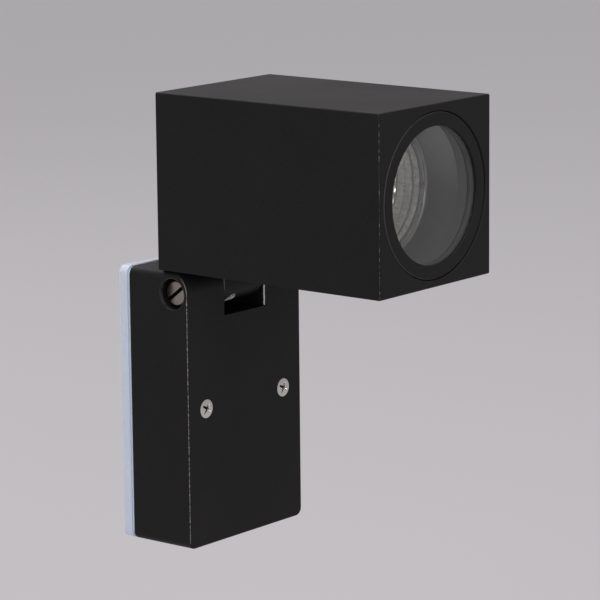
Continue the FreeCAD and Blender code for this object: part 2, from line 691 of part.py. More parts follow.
def friction_washers():
    body = washer("friction_washer_left", n.friction_washer_size,
                  n.pivot_screw + 2 * n.pivot_play, n.friction_washer_thick)
    place(body, -(ear_side - n.friction_washer_thick), -pivot_out, pivot_z, LEFTWARDS)
    return mirrored_pair("friction_washers", body)


def lead_grommet():
    body = new_body("lead_grommet")
    bore, neck = n.lead_grommet_bore / 2, n.lead_hole / 2 - n.seat_gap
    flange, wall = n.lead_grommet_flange / 2, n.notch_wall
    lip = 1.0
    turned(body, "section", [
        (bore, -lip), (flange - lip, -lip), (flange, 0), (neck, 0), (neck, wall),
        (flange, wall), (flange - lip, wall + lip), (bore, wall + lip)])
    place(body, 0, -(pocket_back - n.notch_wall), lead_z, OUTWARDS)
    return piece("lead_grommet", body)


# ---------------------------------------------------------------- terminals

def terminal_places():
    return [n.block_pitch * step for step in (-1, 0, 1)]


def terminal_block():
    body = new_body("terminal_block")
    half_w, half_h = n.block_width / 2, n.block_height / 2
    middle = -n.block_drop
    prism(body, "body", "XZ_Plane",
          rectangle(-half_w, middle - half_h, half_w, middle + half_h),
          n.bracket_thick, n.block_thick)
    soften(body, "block_corners", lambda e: runs_along(e, "y"), 1.2)
    towers = [(x, middle + side * n.tower_spacing / 2, n.tower_size)
              for x in terminal_places() for side in (-1, 1)]
    rounds(body, "towers", "XZ_Plane", towers, block_front, n.tower_height)
    sleeve_z = -(n.bracket_thick + n.block_thick / 2)
    rounds(body, "wire_ways", "XY_Plane",
           [(x, sleeve_z, n.sleeve_size + 2 * n.seat_gap) for x in terminal_places()],
           middle - half_h - BIG, n.block_height + 2 * BIG, cut=True)
    screws = [(x, z, n.terminal_screw + 4 * n.seat_gap) for x, z, _ in towers]
    rounds(body, "screw_ways", "XZ_Plane", screws,
           n.bracket_thick + n.block_thick / 2, n.block_thick + n.tower_height, cut=True)
    rounds(body, "fixing_hole", "XZ_Plane",
           [(n.block_pitch / 2, middle, n.block_screw + 2 * n.seat_gap)],
           0, block_front + BIG, cut=True)
    return piece("terminal_block", body)


def terminal_sleeves():
    made = []
    for number, x in enumerate(terminal_places(), 1):
        body = new_body(f"terminal_sleeve_{number}")
        length = n.block_height - 2
        turned(body, "tube", rectangle(n.sleeve_bore / 2, 0, n.sleeve_size / 2, length))
        holes = [(0, length / 2 + side * n.tower_spacing / 2,
                  n.terminal_screw + 2 * n.thread_play) for side in (-1, 1)]
        rounds(body, "screw_holes", "XZ_Plane", holes, 0, n.sleeve_size, cut=True)
        place(body, x, -(n.bracket_thick + n.block_thick / 2), -n.block_drop - length / 2)
        made.append(body)
    return group("terminal_sleeves", made)


def terminal_screws():
    made = []
    for column, x in enumerate(terminal_places(), 1):
        for side in (-1, 1):
            body = screw(f"terminal_screw_{column}_{'low' if side < 0 else 'high'}",
                         n.terminal_screw, n.terminal_screw_length, n.terminal_screw + 0.02, 0.6)
            slot(body, 0.6, 0.9, n.terminal_screw)
            sunk = 2.0
            place(body, x, -(block_front + n.tower_height - sunk),
                  -n.block_drop + side * n.tower_spacing / 2, OUTWARDS)
            made.append(body)
    return group("terminal_screws", made)


def terminal_block_screw():
    height = 2.0
    body = screw("terminal_block_screw", n.block_screw, n.block_thick + 0.8 * n.bracket_thick,
                 n.block_screw_head, height)
    cross_recess(body, n.block_screw_head * 0.28, 1.2)
    place(body, n.block_pitch / 2, -(block_front + height + n.seat_gap), -n.block_drop, OUTWARDS)
    return piece("terminal_block_screw", body)


def ring_tag(label, hole, tail):
    """Crimped ring tag in its own XY plane, barrel along +Y."""
    body = new_body(label)
    ring = hole * 1.9
    rounds(body, "eye", "XY_Plane", [(0, 0, ring)], 0, n.tag_thick)
    prism(body, "tail", "XY_Plane", rectangle(-ring / 5, 0, ring / 5, tail), 0, n.tag_thick)
    barrel = n.lead_size + 1.2
    rounds(body, "barrel", "XZ_Plane", [(0, barrel / 2, barrel)], -tail - n.lead_size * 2,
           n.lead_size * 2)
    rounds(body, "barrel_bore", "XZ_Plane", [(0, barrel / 2, n.lead_size + 2 * n.thread_play)],
           -tail - n.lead_size * 2 - BIG, n.lead_size * 2 + BIG, cut=True)
    rounds(body, "hole", "XY_Plane", [(0, 0, hole + 0.3)], -BIG, n.tag_thick + 2 * BIG, cut=True)
    return body


def earth_screw():
    height = 2.6
    body = screw("earth_screw", n.earth_screw, n.earth_screw_length, n.earth_screw_head, height)
    cross_recess(body, n.earth_screw_head * 0.26, 1.5)
    place(body, n.earth_x, -(n.earth_post_out - n.tag_thick - 2 * n.seat_gap - height),
          n.earth_z, INWARDS)
    return piece("earth_screw", body)


def earth_tag():
    body = ring_tag("earth_tag", n.earth_screw, n.tag_tail)
    sideways = INWARDS.multiply(FreeCAD.Rotation(V(0, 0, 1), 90))
    place(body, n.earth_x, -(n.earth_post_out - n.seat_gap), n.earth_z, sideways)
    return piece("earth_tag", body)


# ---------------------------------------------------------------- head

def head_housing():
    body = new_body("head_housing")
    half = n.base_width / 2
    top = head_floor + n.base_width
    prism(body, "block", "XZ_Plane", rectangle(-half, head_floor, half, top),
          head_rear, n.head_depth)
    soften(body, "arrises", lambda e: True, n.head_arris)
    centre = [(0, head_axis)]

    def bore(name, diameter, depth):
        rounds(body, name, "XZ_Plane", [(x, z, diameter) for x, z in centre],
               head_front - depth, depth + BIG, cut=True)

    mouth = ring_seat + n.recess_relief
    bore("ring_recess", 2 * ring_seat, n.ring_length + n.seat_gap)
    bore("recess_mouth", 2 * mouth, n.recess_relief_depth)
    bore("lamp_bore", bore_size, n.bore_depth)
    bore("rear_chamber", n.rear_bore_size, chamber_rear)
    soften(body, "recess_bevel",
           lambda e: lies_at(e, "y", -head_front)
           and abs(span(e, "x")[1] - mouth.value) < 1e-3, n.recess_bevel,
           "PartDesign::Chamfer")
    pillar_x = n.pillar_spacing / 2
    rounds(body, "pillars", "XZ_Plane",
           [(-pillar_x, head_axis, n.pillar_size), (pillar_x, head_axis, n.pillar_size)],
           head_front - chamber_rear, chamber_rear - strap_rear)
    thread = n.strap_screw + 2 * n.thread_play
    rounds(body, "pillar_threads", "XZ_Plane",
           [(-pillar_x, head_axis, thread), (pillar_x, head_axis, thread)],
           head_front - strap_rear - n.strap_screw_length, n.strap_screw_length + BIG, cut=True)
    # the tongue under the head, rounded about the pivot axis
    front, rear = pivot_out + n.knuckle_radius, pivot_out - n.knuckle_radius
    prism(body, "tongue", "YZ_Plane", rectangle(-front, pivot_z, -rear, head_floor + BIG),
          -knuckle_side, n.knuckle_width)
    rounds(body, "knuckle", "YZ_Plane", [(-pivot_out, pivot_z, 2 * n.knuckle_radius)],
           -knuckle_side, n.knuckle_width)
    rounds(body, "lead_channel", "XY_Plane", [(0, -pivot_out, n.channel)],
           pivot_z, head_axis - pivot_z - n.rear_bore_size / 2 + n.channel, cut=True)
    reach = n.knuckle_slot_reach
    prism(body, "knuckle_slot", "YZ_Plane",
          rectangle(-(pivot_out + reach), pivot_z - n.knuckle_radius - BIG,
                    -rear + BIG, pivot_z + reach),
          -n.knuckle_slot / 2, n.knuckle_slot, cut=True)
    rounds(body, "pivot_threads", "YZ_Plane",
           [(-pivot_out, pivot_z, n.pivot_screw + 2 * n.thread_play)],
           -knuckle_side - BIG, n.knuckle_width + 2 * BIG, cut=True)
    # set screw hole, square to the rounded knuckle and dipping forwards
    sketch = new_sketch(body, "lock_hole", "XZ_Plane", pivot_out)
    circle = Part.Circle(V(0, 0, 0), V(0, 0, 1), n.lock_screw.value / 2 + n.thread_play.value)
    index = sketch.addGeometry(circle, False)
    hole = n.lock_screw + 2 * n.thread_play
    bind_constraint(sketch, Sketcher.Constraint("Diameter", index, hole.value), hole.formula)
    hold(sketch, index, 3, 0, 0)
    sketch.AttachmentOffset = FreeCAD.Placement(
        V(-n.lock_screw_offset.value, pivot_z.value, pivot_out.value),
        FreeCAD.Rotation(V(1, 0, 0), n.lock_screw_angle.value))
    sketch.setExpression("AttachmentOffset.Base.x", (-n.lock_screw_offset).formula)
    sketch.setExpression("AttachmentOffset.Base.y", pivot_z.formula)
    sketch.setExpression("AttachmentOffset.Rotation.Angle", n.lock_screw_angle.formula)
    doc.recompute()
    extrude(body, sketch, n.knuckle_radius + BIG, cut=True)
    soften(body, "lock_bevel",
           lambda e: abs(e.CenterOfMass.x + n.lock_screw_offset.value) < 0.5
           and math.hypot(e.CenterOfMass.y + pivot_out.value, e.CenterOfMass.z - pivot_z.value)
           > 0.8 * n.knuckle_radius.value, n.lock_bevel, "PartDesign::Chamfer")
    return piece("head_housing", body)


def tilt_lock_screw():
    body = new_body("tilt_lock_screw")
    radius, length = n.lock_screw / 2, n.lock_screw_length
    edge = 0.3
    turned(body, "profile", [(0, 0), (radius - edge, 0), (radius, edge), (radius, length - edge),
                             (radius - edge, length), (0, length)])
    across = n.lock_screw_socket / 2
    corner = across * 1.1547
    hexagon = [(corner, 0), (corner / 2, across), (-corner / 2, across), (-corner, 0),
               (-corner / 2, -across), (corner / 2, -across)]
    prism(body, "socket", "XY_Plane", hexagon, length / 2, length, cut=True)
    dip = FreeCAD.Rotation(V(1, 0, 0), 90 + n.lock_screw_angle.value)
    start = n.pivot_screw / 2 + n.seat_gap
    run = Size(math.cos(math.radians(n.lock_screw_angle.value)),
               "cos(Sizes.lock_screw_angle * 1 deg)")
    fall = Size(math.sin(math.radians(n.lock_screw_angle.value)),
                "sin(Sizes.lock_screw_angle * 1 deg)")
    place(body, -n.lock_screw_offset, -(pivot_out + start * run), pivot_z - start * fall, dip)
    return piece("tilt_lock_screw", body)


def front_ring():
    body = new_body("front_ring")
    rim, window = ring_size / 2, ring_window / 2
    seat = glass_size / 2 + n.glass_play
    groove_r = rim - n.oring_groove_depth
    groove_end = n.oring_groove_at + n.oring_groove_width
    turned(body, "section", [
        (window, -n.ring_recess), (rim, -n.ring_recess), (rim, -n.oring_groove_at),
        (groove_r, -n.oring_groove_at), (groove_r, -groove_end), (rim, -groove_end),
        (rim, -n.ring_length), (seat, -n.ring_length), (seat, -glass_front),
        (window, -glass_front)])
    soften(body, "ring_arris",
           lambda e: lies_at(e, "z", -n.ring_recess)
           and abs(span(e, "x")[1] - rim.value) < 1e-3, n.ring_arris)
    soften(body, "window_arris",
           lambda e: lies_at(e, "z", -n.ring_recess)
           and abs(span(e, "x")[1] - window.value) < 1e-3, n.ring_arris)
    in_head(body)
    return piece("front_ring", body)


def lens_glass():
    body = new_body("lens_glass")
    radius, edge = glass_size / 2, 0.3
    back = seal_front
    turned(body, "section", [
        (0, -glass_front), (radius - edge, -glass_front), (radius, -(glass_front + edge)),
        (radius, -(back - edge)), (radius - edge, -back), (0, -back)])
    in_head(body)
    return piece("lens_glass", body)


def lens_gasket():
    body = new_body("lens_gasket")
    turned(body, "section", rectangle(ring_window / 2, -(seal_front + n.glass_seal_thick),
                                      glass_size / 2, -seal_front))
    in_head(body)
    return piece("lens_gasket", body)


def glass_retainer():
    """Snap ring of square wire that springs out against the ring's skirt."""
    body = new_body("glass_retainer")
    outer = glass_size / 2 + n.glass_play - n.seat_gap / 2
    front = seal_front + n.glass_seal_thick
    turned(body, "section", rectangle(outer - n.retainer_wire, -(front + n.retainer_wire),
                                      outer, -front))
    half = n.retainer_gap / 2
    prism(body, "opening", "XY_Plane", rectangle(-half, -outer - BIG, half, 0),
          -(front + n.retainer_wire + BIG), n.retainer_wire + 2 * BIG, cut=True)
    in_head(body)
    return piece("glass_retainer", body)


def ring_seal():
    torus = doc.addObject("Part::Torus", "ring_seal")
    half = n.oring_section / 2
    radius = ring_size / 2 - half
    torus.setExpression("Radius1", radius.formula)
    torus.setExpression("Radius2", (half - n.seat_gap / 2).formula)
    in_head(torus, n.oring_groove_at + n.oring_groove_width / 2)
    return piece("ring_seal", torus)


# ---------------------------------------------------------------- lamp and lampholder

def lamp_reflector():
    body = new_body("lamp_reflector")
    rim, neck = lamp_size / 2, n.reflector_neck / 2
    wall, curve = n.reflector_wall, n.reflector_curve
    end = n.reflector_depth
    inner_end = end - 2 * wall
    turned(body, "shell", [
        (rim - wall, 0), (rim, 0), (rim, -n.lamp_rim, curve, -1), (neck, -end),
        (neck - wall, -end), (neck - wall, -inner_end, curve - wall, 1),
        (rim - wall, -n.lamp_rim)])
    in_head(body, n.lamp_setback)
    return piece("lamp_reflector", body)


def lamp_front_glass():
    body = new_body("lamp_front_glass")
    radius = lamp_size / 2 - n.reflector_wall - n.seat_gap
    front = n.lamp_glass_recess
    turned(body, "section", rectangle(0, -(front + n.lamp_glass_thick), radius, -front))
    in_head(body, n.lamp_setback)
    return piece("lamp_front_glass", body)


def lamp_burner():
    body = new_body("lamp_burner")
    radius = n.burner_size / 2
    foot = n.reflector_depth
    top = foot - n.burner_length
    stem = radius * 0.6
    turned(body, "profile", [
        (0, -foot), (stem, -foot), (stem, -(foot - radius)), (radius, -(foot - 2 * radius)),
        (radius, -(top + radius), radius, 1), (0, -top)])
    in_head(body, n.lamp_setback)
    return piece("lamp_burner", body)


def lamp_base():
    body = new_body("lamp_base")
    radius, neck = n.lamp_base_size / 2, n.reflector_neck / 2
    front, back = n.reflector_depth, lamp_length
    turned(body, "profile", [
        (0, -front), (neck, -front), (radius, -(front + 2)), (radius, -(back - 1)),
        (radius - 1, -back), (0, -back)])
    flat = n.lamp_base_flat / 2
    for side, word in ((-1, "low"), (1, "high")):
        strip = rectangle(-radius - BIG, side * flat, radius + BIG, side * (radius + BIG))
        prism(body, f"flat_{word}", "XY_Plane", strip, -(back + BIG),
              n.lamp_base_depth * 0.6 + BIG, cut=True)
    in_head(body, n.lamp_setback)
    return piece("lamp_base", body)


def lamp_pins():
    body = new_body("lamp_pin_left")
    neck, foot = n.pin_size / 2, n.pin_head / 2
    end = n.pin_length
    turned(body, "profile", [
        (0, 0), (neck, 0), (neck, -(end - n.pin_head_height)), (foot, -(end - n.pin_head_height)),
        (foot, -end), (0, -end)])
    place(body, -n.pin_spacing / 2, -(head_front - n.lamp_setback - lamp_length), head_axis,
          OUTWARDS)
    return mirrored_pair("lamp_pins", body)


def sector_way(body, name, middle, half_width, sweep, start, length):
    """Curved way with half-round ends that runs through an angle from the X axis."""
    angle = math.radians(sweep.value)
    cosine = Size(math.cos(angle), f"cos({sweep.formula} * 1 deg)")
    sine = Size(math.sin(angle), f"sin({sweep.formula} * 1 deg)")
    inner, outer = middle - half_width, middle + half_width
    for side, word in ((1, "right"), (-1, "left")):
        points = [(side * inner, 0, half_width, 1), (side * outer, 0, outer, 1),
                  (side * outer * cosine, side * outer * sine, half_width, 1),
                  (side * inner * cosine, side * inner * sine, inner, -1)]
        prism(body, f"{name}_{word}", "XY_Plane", points, start, length, cut=True)


def lampholder():
    body = new_body("lampholder")
    radius, depth = n.holder_size / 2, n.holder_depth
    turned(body, "puck", [(0, 0), (radius - 1, 0), (radius, -1), (radius, -depth), (0, -depth)])
    middle = n.pin_spacing / 2
    neck = n.pin_size / 2 + n.pin_play
    foot = n.pin_head / 2 + n.pin_play
    plate, cavity = n.holder_plate, n.holder_cavity
    # the neck slides along the narrow way in the front plate, the foot in the wide one behind
    for name, half, start, length in (("neck_way", neck, -plate, plate + BIG),
                                      ("foot_way", foot, -(plate + cavity), cavity)):
        sector_way(body, name, middle, half, n.lamp_turn, start, length)
    angle = math.radians(n.lamp_turn.value)
    cosine = Size(math.cos(angle), "cos(Sizes.lamp_turn * 1 deg)")
    sine = Size(math.sin(angle), "sin(Sizes.lamp_turn * 1 deg)")
    entries = [(side * middle * cosine, side * middle * sine, 2 * (foot + n.seat_gap))
               for side in (-1, 1)]
    rounds(body, "foot_entries", "XY_Plane", entries, -plate, plate + BIG, cut=True)
    wide = n.holder_screw_spacing / 2
    rounds(body, "screw_holes", "XY_Plane",
           [(0, side * wide, n.holder_screw + 4 * n.seat_gap) for side in (-1, 1)],
           -depth - BIG, depth + 2 * BIG, cut=True)
    rounds(body, "screw_sinks", "XY_Plane",
           [(0, side * wide, n.holder_screw_head + 4 * n.seat_gap) for side in (-1, 1)],
           -plate, plate + BIG, cut=True)
    rounds(body, "lead_ways", "XY_Plane",
           [(side * middle, 0, n.lead_size + 4 * n.seat_gap) for side in (-1, 1)],
           -depth - BIG, depth - plate - cavity + 2 * BIG, cut=True)
    in_head(body, holder_front)
    return piece("lampholder", body)


def holder_contacts():
    """Sprung strips at the back of the lampholder that press on the pin feet."""
    body = new_body("holder_contact_left")
    middle = n.pin_spacing / 2
    back = n.holder_plate + n.holder_cavity - n.seat_gap
    wide = n.pin_head / 2 - n.seat_gap
    prism(body, "strip", "XY_Plane",
          rectangle(middle - wide, -wide / 2, middle + wide, wide / 2), -back, n.contact_thick)
    place(body, 0, -(head_front - holder_front), head_axis, OUTWARDS)
    return mirrored_pair("holder_contacts", body)


def holder_strap():
    body = new_body("holder_strap")
    reach = n.rear_bore_size / 2 - n.strap_play
    half_h = n.strap_height / 2
    wide = n.holder_screw_spacing / 2
    ear = n.holder_screw_head / 2 + 1
    turned(body, "disc", rectangle(0, -n.strap_thick, reach, 0))
    for side, word in ((-1, "low"), (1, "high")):
        strip = rectangle(-reach - BIG, side * (half_h + 1), -ear * 1.6, side * (reach + BIG))
        other = rectangle(ear * 1.6, side * (half_h + 1), reach + BIG, side * (reach + BIG))
        prism(body, f"cut_left_{word}", "XY_Plane", strip, -n.strap_thick - BIG,
              n.strap_thick + 2 * BIG, cut=True)
        prism(body, f"cut_right_{word}", "XY_Plane", other, -n.strap_thick - BIG,
              n.strap_thick + 2 * BIG, cut=True)
        cap = rectangle(-reach, side * (wide + ear), reach, side * (reach + BIG))
        prism(body, f"cut_end_{word}", "XY_Plane", cap, -n.strap_thick - BIG,
              n.strap_thick + 2 * BIG, cut=True)
    pillar_x = n.pillar_spacing / 2
    holes = [(side * pillar_x, 0, n.strap_screw + 4 * n.seat_gap) for side in (-1, 1)]
    holes += [(0, side * wide, n.holder_screw + 2 * n.thread_play) for side in (-1, 1)]
    holes += [(0, 0, n.strap_window)]
    rounds(body, "holes", "XY_Plane", holes, -n.strap_thick - BIG, n.strap_thick + 2 * BIG,
           cut=True)
    in_head(body, holder_rear)
    return piece("holder_strap", body)


def holder_screws():
    height = 1.8
    made = []
    for side, word in ((-1, "low"), (1, "high")):
        length = n.holder_depth - n.holder_plate + n.strap_thick - n.seat_gap
        body = screw(f"holder_screw_{word}", n.holder_screw, length, n.holder_screw_head, height)
        slot(body, 0.8, 0.9, n.holder_screw_head)
        depth = holder_front + n.holder_plate - n.seat_gap - height
        place(body, 0, -(head_front - depth), head_axis + side * n.holder_screw_spacing / 2,
              OUTWARDS)
        made.append(body)
    return group("holder_screws", made)


def strap_screws():
    """The right screw also holds the head's earth tag, so its head stands further out."""
    height = 2.0
    made = []
    for side, word, lift in ((-1, "left", 0.0), (1, "right", n.tag_thick)):
        body = screw(f"strap_screw_{word}", n.strap_screw,
                     n.strap_screw_length + n.strap_thick - 4 * n.seat_gap,
                     n.strap_screw_head, height)
        cross_recess(body, n.strap_screw_head * 0.28, 1.2)
        depth = holder_rear - n.seat_gap - height - lift
        place(body, side * n.pillar_spacing / 2, -(head_front - depth), head_axis, OUTWARDS)
        made.append(body)
    return group("strap_screws", made)


def head_earth_tag():
    body = ring_tag("head_earth_tag", n.strap_screw, n.tag_tail)
    downwards = OUTWARDS.multiply(FreeCAD.Rotation(V(0, 0, 1), 180))
    place(body, n.pillar_spacing / 2, -(head_front - holder_rear), head_axis, downwards)
    return piece("head_earth_tag", body)


def channel_sleeve():
    body = new_body("channel_sleeve")
    outer = n.channel / 2 - n.channel_sleeve_play
    bottom = n.knuckle_slot_reach + 0.5
    top = head_axis - n.rear_bore_size / 2 - pivot_z + 3.0
    turned(body, "tube", rectangle(n.channel_sleeve_bore / 2, bottom, outer, top))
    place(body, 0, -pivot_out, pivot_z)
    return piece("channel_sleeve", body)


# ---------------------------------------------------------------- leads

def lead(label, route, diameter):
    """Round lead along straight runs joined by arcs, each as large as its runs allow."""
    points = [V(*[size(c).value for c in point]) for point in route]
    spans = [(b - a).Length for a, b in zip(points, points[1:])]
    radii = []
    edges = []
    start = points[0]
    for number in range(1, len(points) - 1):
        before = (points[number] - points[number - 1]).normalize()
        after = (points[number + 1] - points[number]).normalize()
        turn = before.getAngle(after)
        trim = 0.45 * min(spans[number - 1], spans[number])
        radius = trim / math.tan(turn / 2)
        radii.append(radius)
        enter = points[number] - before * trim
        leave = points[number] + after * trim
        inwards = (after - before).normalize()
        centre = points[number] + inwards * (radius / math.cos(turn / 2))
        edges.append(Part.LineSegment(start, enter).toShape())
        edges.append(Part.Arc(enter, centre - inwards * radius, leave).toShape())
        start = leave
    edges.append(Part.LineSegment(start, points[-1]).toShape())
    path = Part.Wire(edges)
    direction = (points[1] - points[0]).normalize()
    section = Part.Wire(Part.Circle(points[0], direction, diameter.value / 2).toShape())
    tube = path.makePipeShell([section], True, False)
    expected = math.pi * (diameter.value / 2) ** 2 * path.Length
    print(f"{label}: length {path.Length:.1f}, volume {tube.Volume / expected:.4f} of "
          f"section times length, bend radii {[round(r, 1) for r in radii]}")
    feature = doc.addObject("Part::Feature", label)
    feature.Shape = tube
    return piece(label, feature)


def bunch(step):
    """Place of one of three leads round the middle of the bunch: across, up."""
    angle = math.radians(120 * step - 90)
    return n.lead_bunch * math.cos(angle), n.lead_bunch * math.sin(angle)


def base_leads():
    """From the terminals up beside the cable entry and forwards to the pivot axis."""
    top = -n.block_drop + n.block_height / 2
    out = n.bracket_thick + n.block_thick / 2
    names = ("base_lead_live", "base_lead_earth", "base_lead_neutral")
    d = n.lead_size
    middle = out + 1.25 * d
    for name, x, step in zip(names, terminal_places(), (2, 0, 1)):
        across, up = bunch(step)
        side = 6.56 * d + across
        level = -(middle - up)
        lead(name, [
            (x, -out, top - 2.5 * d), (x, -out, top + 3.125 * d), (side, level, top + 11.25 * d),
            (side, level, top + 17.5 * d), (1.875 * d + across, level, lead_z - 6.875 * d),
            (across, level + 0.3 * d, lead_z - 3.44 * d + up),
            (across, level - 2.2 * d, lead_z + up),
            (across, -(pivot_out - n.lead_break - up), lead_z + up)], d)


def earth_link():
    """Short lead from the earth terminal down to the tag on the base's earth post."""
    out = n.bracket_thick + n.block_thick / 2
    low = -n.block_drop - n.block_height / 2
    barrel = n.earth_post_out - n.seat_gap - (n.lead_size + 1.2) / 2
    mouth = n.earth_x - n.tag_tail - 2 * n.lead_size
    d = n.lead_size
    lead("earth_link", [
        (0, -out, low + 2.5 * d), (0, -out, low - 2.8 * d),
        (-1.25 * d, -(out + 3.1 * d), n.earth_z + 0.3 * d),
        (0, -barrel, n.earth_z), (mouth + 1.25 * d, -barrel, n.earth_z)], d)


def head_leads():
    """From the pivot axis up through the tongue to the lampholder."""
    floor = head_axis - n.rear_bore_size / 2
    d = n.lead_size
    back = holder_front + n.holder_plate + n.holder_cavity + 0.6 * d
    for name, side, step in (("head_lead_live", -1, 2), ("head_lead_neutral", 1, 1)):
        across, up = bunch(step)
        column = -(pivot_out - up)
        x = side * n.pin_spacing / 2
        lead(name, [
            (across, column, pivot_z + n.lead_break + up), (across, column, floor + 3.75 * d),
            (x * 0.8, column, floor + 10 * d), (x, -(head_front - strap_rear - 3.75 * d), head_axis),
            (x, -(head_front - back), head_axis)], d)


def head_lead_earth():
    """From the pivot axis up through the tongue to the tag under a strap screw."""
    across, up = bunch(0)
    column = pivot_out - up
    floor = head_axis - n.rear_bore_size / 2
    barrel = head_front - holder_rear + (n.lead_size + 1.2) / 2
    x = n.pillar_spacing / 2
    d = n.lead_size
    mouth = head_axis - n.tag_tail - 2 * d
    lead("head_lead_earth", [
        (across, -column, pivot_z + n.lead_break + up), (across, -column, floor + 2.5 * d),
        (2.8 * d, -(column + 1.9 * d), floor + 5 * d), (7.5 * d, -(column + 5 * d), floor + 5.6 * d),
        (x, -barrel, floor + 6.9 * d), (x, -barrel, mouth + 1.25 * d)], d)


wall_gasket()
mounting_bracket()
cable_grommet()
base_housing()
cover_screws()
pivot_screws()
pivot_spring_washers()
friction_washers()
lead_grommet()
terminal_block()
terminal_sleeves()
terminal_screws()
terminal_block_screw()
earth_screw()
earth_tag()
head_housing()
tilt_lock_screw()
front_ring()
lens_glass()
lens_gasket()
glass_retainer()
ring_seal()
lamp_reflector()
lamp_front_glass()
lamp_burner()
lamp_base()
lamp_pins()
lampholder()
holder_contacts()
holder_strap()
holder_screws()
strap_screws()
head_earth_tag()
channel_sleeve()
base_leads()
earth_link()
head_leads()
head_lead_earth()

doc.recompute()
failed = [obj.Name for obj in doc.Objects if "Invalid" in obj.State or "Error" in obj.State]
if failed:
    raise RuntimeError(f"failed objects: {failed}")
for label, obj in nodes.items():
    if obj.Shape.isNull() or not obj.Shape.isValid():
        raise RuntimeError(f"{label} has no valid shape")

os.makedirs("parts", exist_ok=True)
for label, obj in nodes.items():
    obj.Shape.exportStep(f"parts/{label}.step")
    solids = len(obj.Shape.Solids)
    print(f"{label}: {solids} solid{'s' if solids > 1 else ''}, {obj.Shape.Volume:.1f} mm3")
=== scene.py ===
import math

import bmesh
import bpy
from mathutils import Matrix, Vector


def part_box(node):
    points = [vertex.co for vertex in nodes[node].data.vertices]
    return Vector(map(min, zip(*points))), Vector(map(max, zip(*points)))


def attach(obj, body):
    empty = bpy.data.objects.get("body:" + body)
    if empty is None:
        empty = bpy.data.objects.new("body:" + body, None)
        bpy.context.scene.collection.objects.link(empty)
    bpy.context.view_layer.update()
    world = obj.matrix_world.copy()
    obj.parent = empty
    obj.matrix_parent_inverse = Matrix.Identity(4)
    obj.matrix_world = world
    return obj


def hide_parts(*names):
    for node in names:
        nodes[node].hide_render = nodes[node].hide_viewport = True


# Pivoting spotlight wall light. The wall is the plane y = 0, the light stands out along -y,
# the tilt axis runs along x. Metres, but for the pieces made here, whose sizes are in mm.

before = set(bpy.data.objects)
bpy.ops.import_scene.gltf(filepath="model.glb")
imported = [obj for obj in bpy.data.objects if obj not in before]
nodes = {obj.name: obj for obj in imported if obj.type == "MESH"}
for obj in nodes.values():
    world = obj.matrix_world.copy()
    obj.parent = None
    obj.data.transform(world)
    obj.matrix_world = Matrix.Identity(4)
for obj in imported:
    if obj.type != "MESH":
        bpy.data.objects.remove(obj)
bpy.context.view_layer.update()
print("frame loaded:", len(nodes), "pieces")

mm = 0.001
scene = bpy.context.scene


def low(name):
    return Vector(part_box(name)[0])


def high(name):
    return Vector(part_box(name)[1])


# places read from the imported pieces
headHigh = high("head_housing")
headFrontY = low("head_housing").y
baseLow, baseHigh = low("base_housing"), high("base_housing")
ringLow, ringHigh = low("front_ring"), high("front_ring")
headAxisZ = (ringLow.z + ringHigh.z) / 2
pivotLow, pivotHigh = low("pivot_screws"), high("pivot_screws")
pivotY, pivotZ = (pivotLow.y + pivotHigh.y) / 2, (pivotLow.z + pivotHigh.z) / 2


# nodes for every kind of tree; a value is a constant or another node's output
def feed(tree, socket, value):
    if isinstance(value, bpy.types.NodeSocket):
        tree.links.new(value, socket)
    elif value is not None:
        socket.default_value = value


def feedAll(tree, node, **values):
    for label, value in values.items():
        feed(tree, node.inputs[label.replace("_", " ")], value)


def mathNode(tree, operation, first, second=None, clamp=False):
    node = tree.nodes.new("ShaderNodeMath")
    node.operation = operation
    node.use_clamp = clamp
    feed(tree, node.inputs[0], first)
    feed(tree, node.inputs[1], second)
    return node.outputs[0]


def calculator(tree):
    def calc(operation, first, second=None, clamp=False):
        return mathNode(tree, operation, first, second, clamp)
    return calc


def vectorNode(tree, operation, first, second=None):
    node = tree.nodes.new("ShaderNodeVectorMath")
    node.operation = operation
    feed(tree, node.inputs[0], first)
    feed(tree, node.inputs[1], second)
    return node.outputs


def splitNode(tree, vector):
    node = tree.nodes.new("ShaderNodeSeparateXYZ")
    feed(tree, node.inputs[0], vector)
    return node.outputs


def rangeNode(tree, value, fromLow, fromHigh, toLow=0.0, toHigh=1.0, smooth=True):
    node = tree.nodes.new("ShaderNodeMapRange")
    node.interpolation_type = "SMOOTHSTEP" if smooth else "LINEAR"
    feedAll(tree, node, Value=value, From_Min=fromLow, From_Max=fromHigh, To_Min=toLow,
            To_Max=toHigh)
    return node.outputs["Result"]


def noiseNode(tree, vector, scale, detail=3.0, roughness=0.55):
    node = tree.nodes.new("ShaderNodeTexNoise")
    feedAll(tree, node, Vector=vector, Scale=scale, Detail=detail, Roughness=roughness)
    return node.outputs["Fac"]


def mixColour(tree, factor, first, second):
    node = tree.nodes.new("ShaderNodeMix")
    node.data_type = "RGBA"
    feedAll(tree, node, Factor=factor, A=first, B=second)
    return node.outputs["Result"]


def mixSurface(tree, factor, first, second):
    node = tree.nodes.new("ShaderNodeMixShader")
    for socket, source in zip(node.inputs, (factor, first, second)):
        feed(tree, socket, source)
    feed(tree, tree.nodes["Material Output"].inputs["Surface"], node.outputs[0])


def newGroup(name, inputs, outputs):
    group = bpy.data.node_groups.new(name, "ShaderNodeTree")
    for label, kind, value in inputs:
        socket = group.interface.new_socket(label, in_out="INPUT", socket_type=kind)
        if value is not None:
            socket.default_value = value
    for label in outputs:
        group.interface.new_socket(label, in_out="OUTPUT", socket_type="NodeSocketFloat")
    enter = group.nodes.new("NodeGroupInput")
    leave = group.nodes.new("NodeGroupOutput")
    return group, enter.outputs, leave


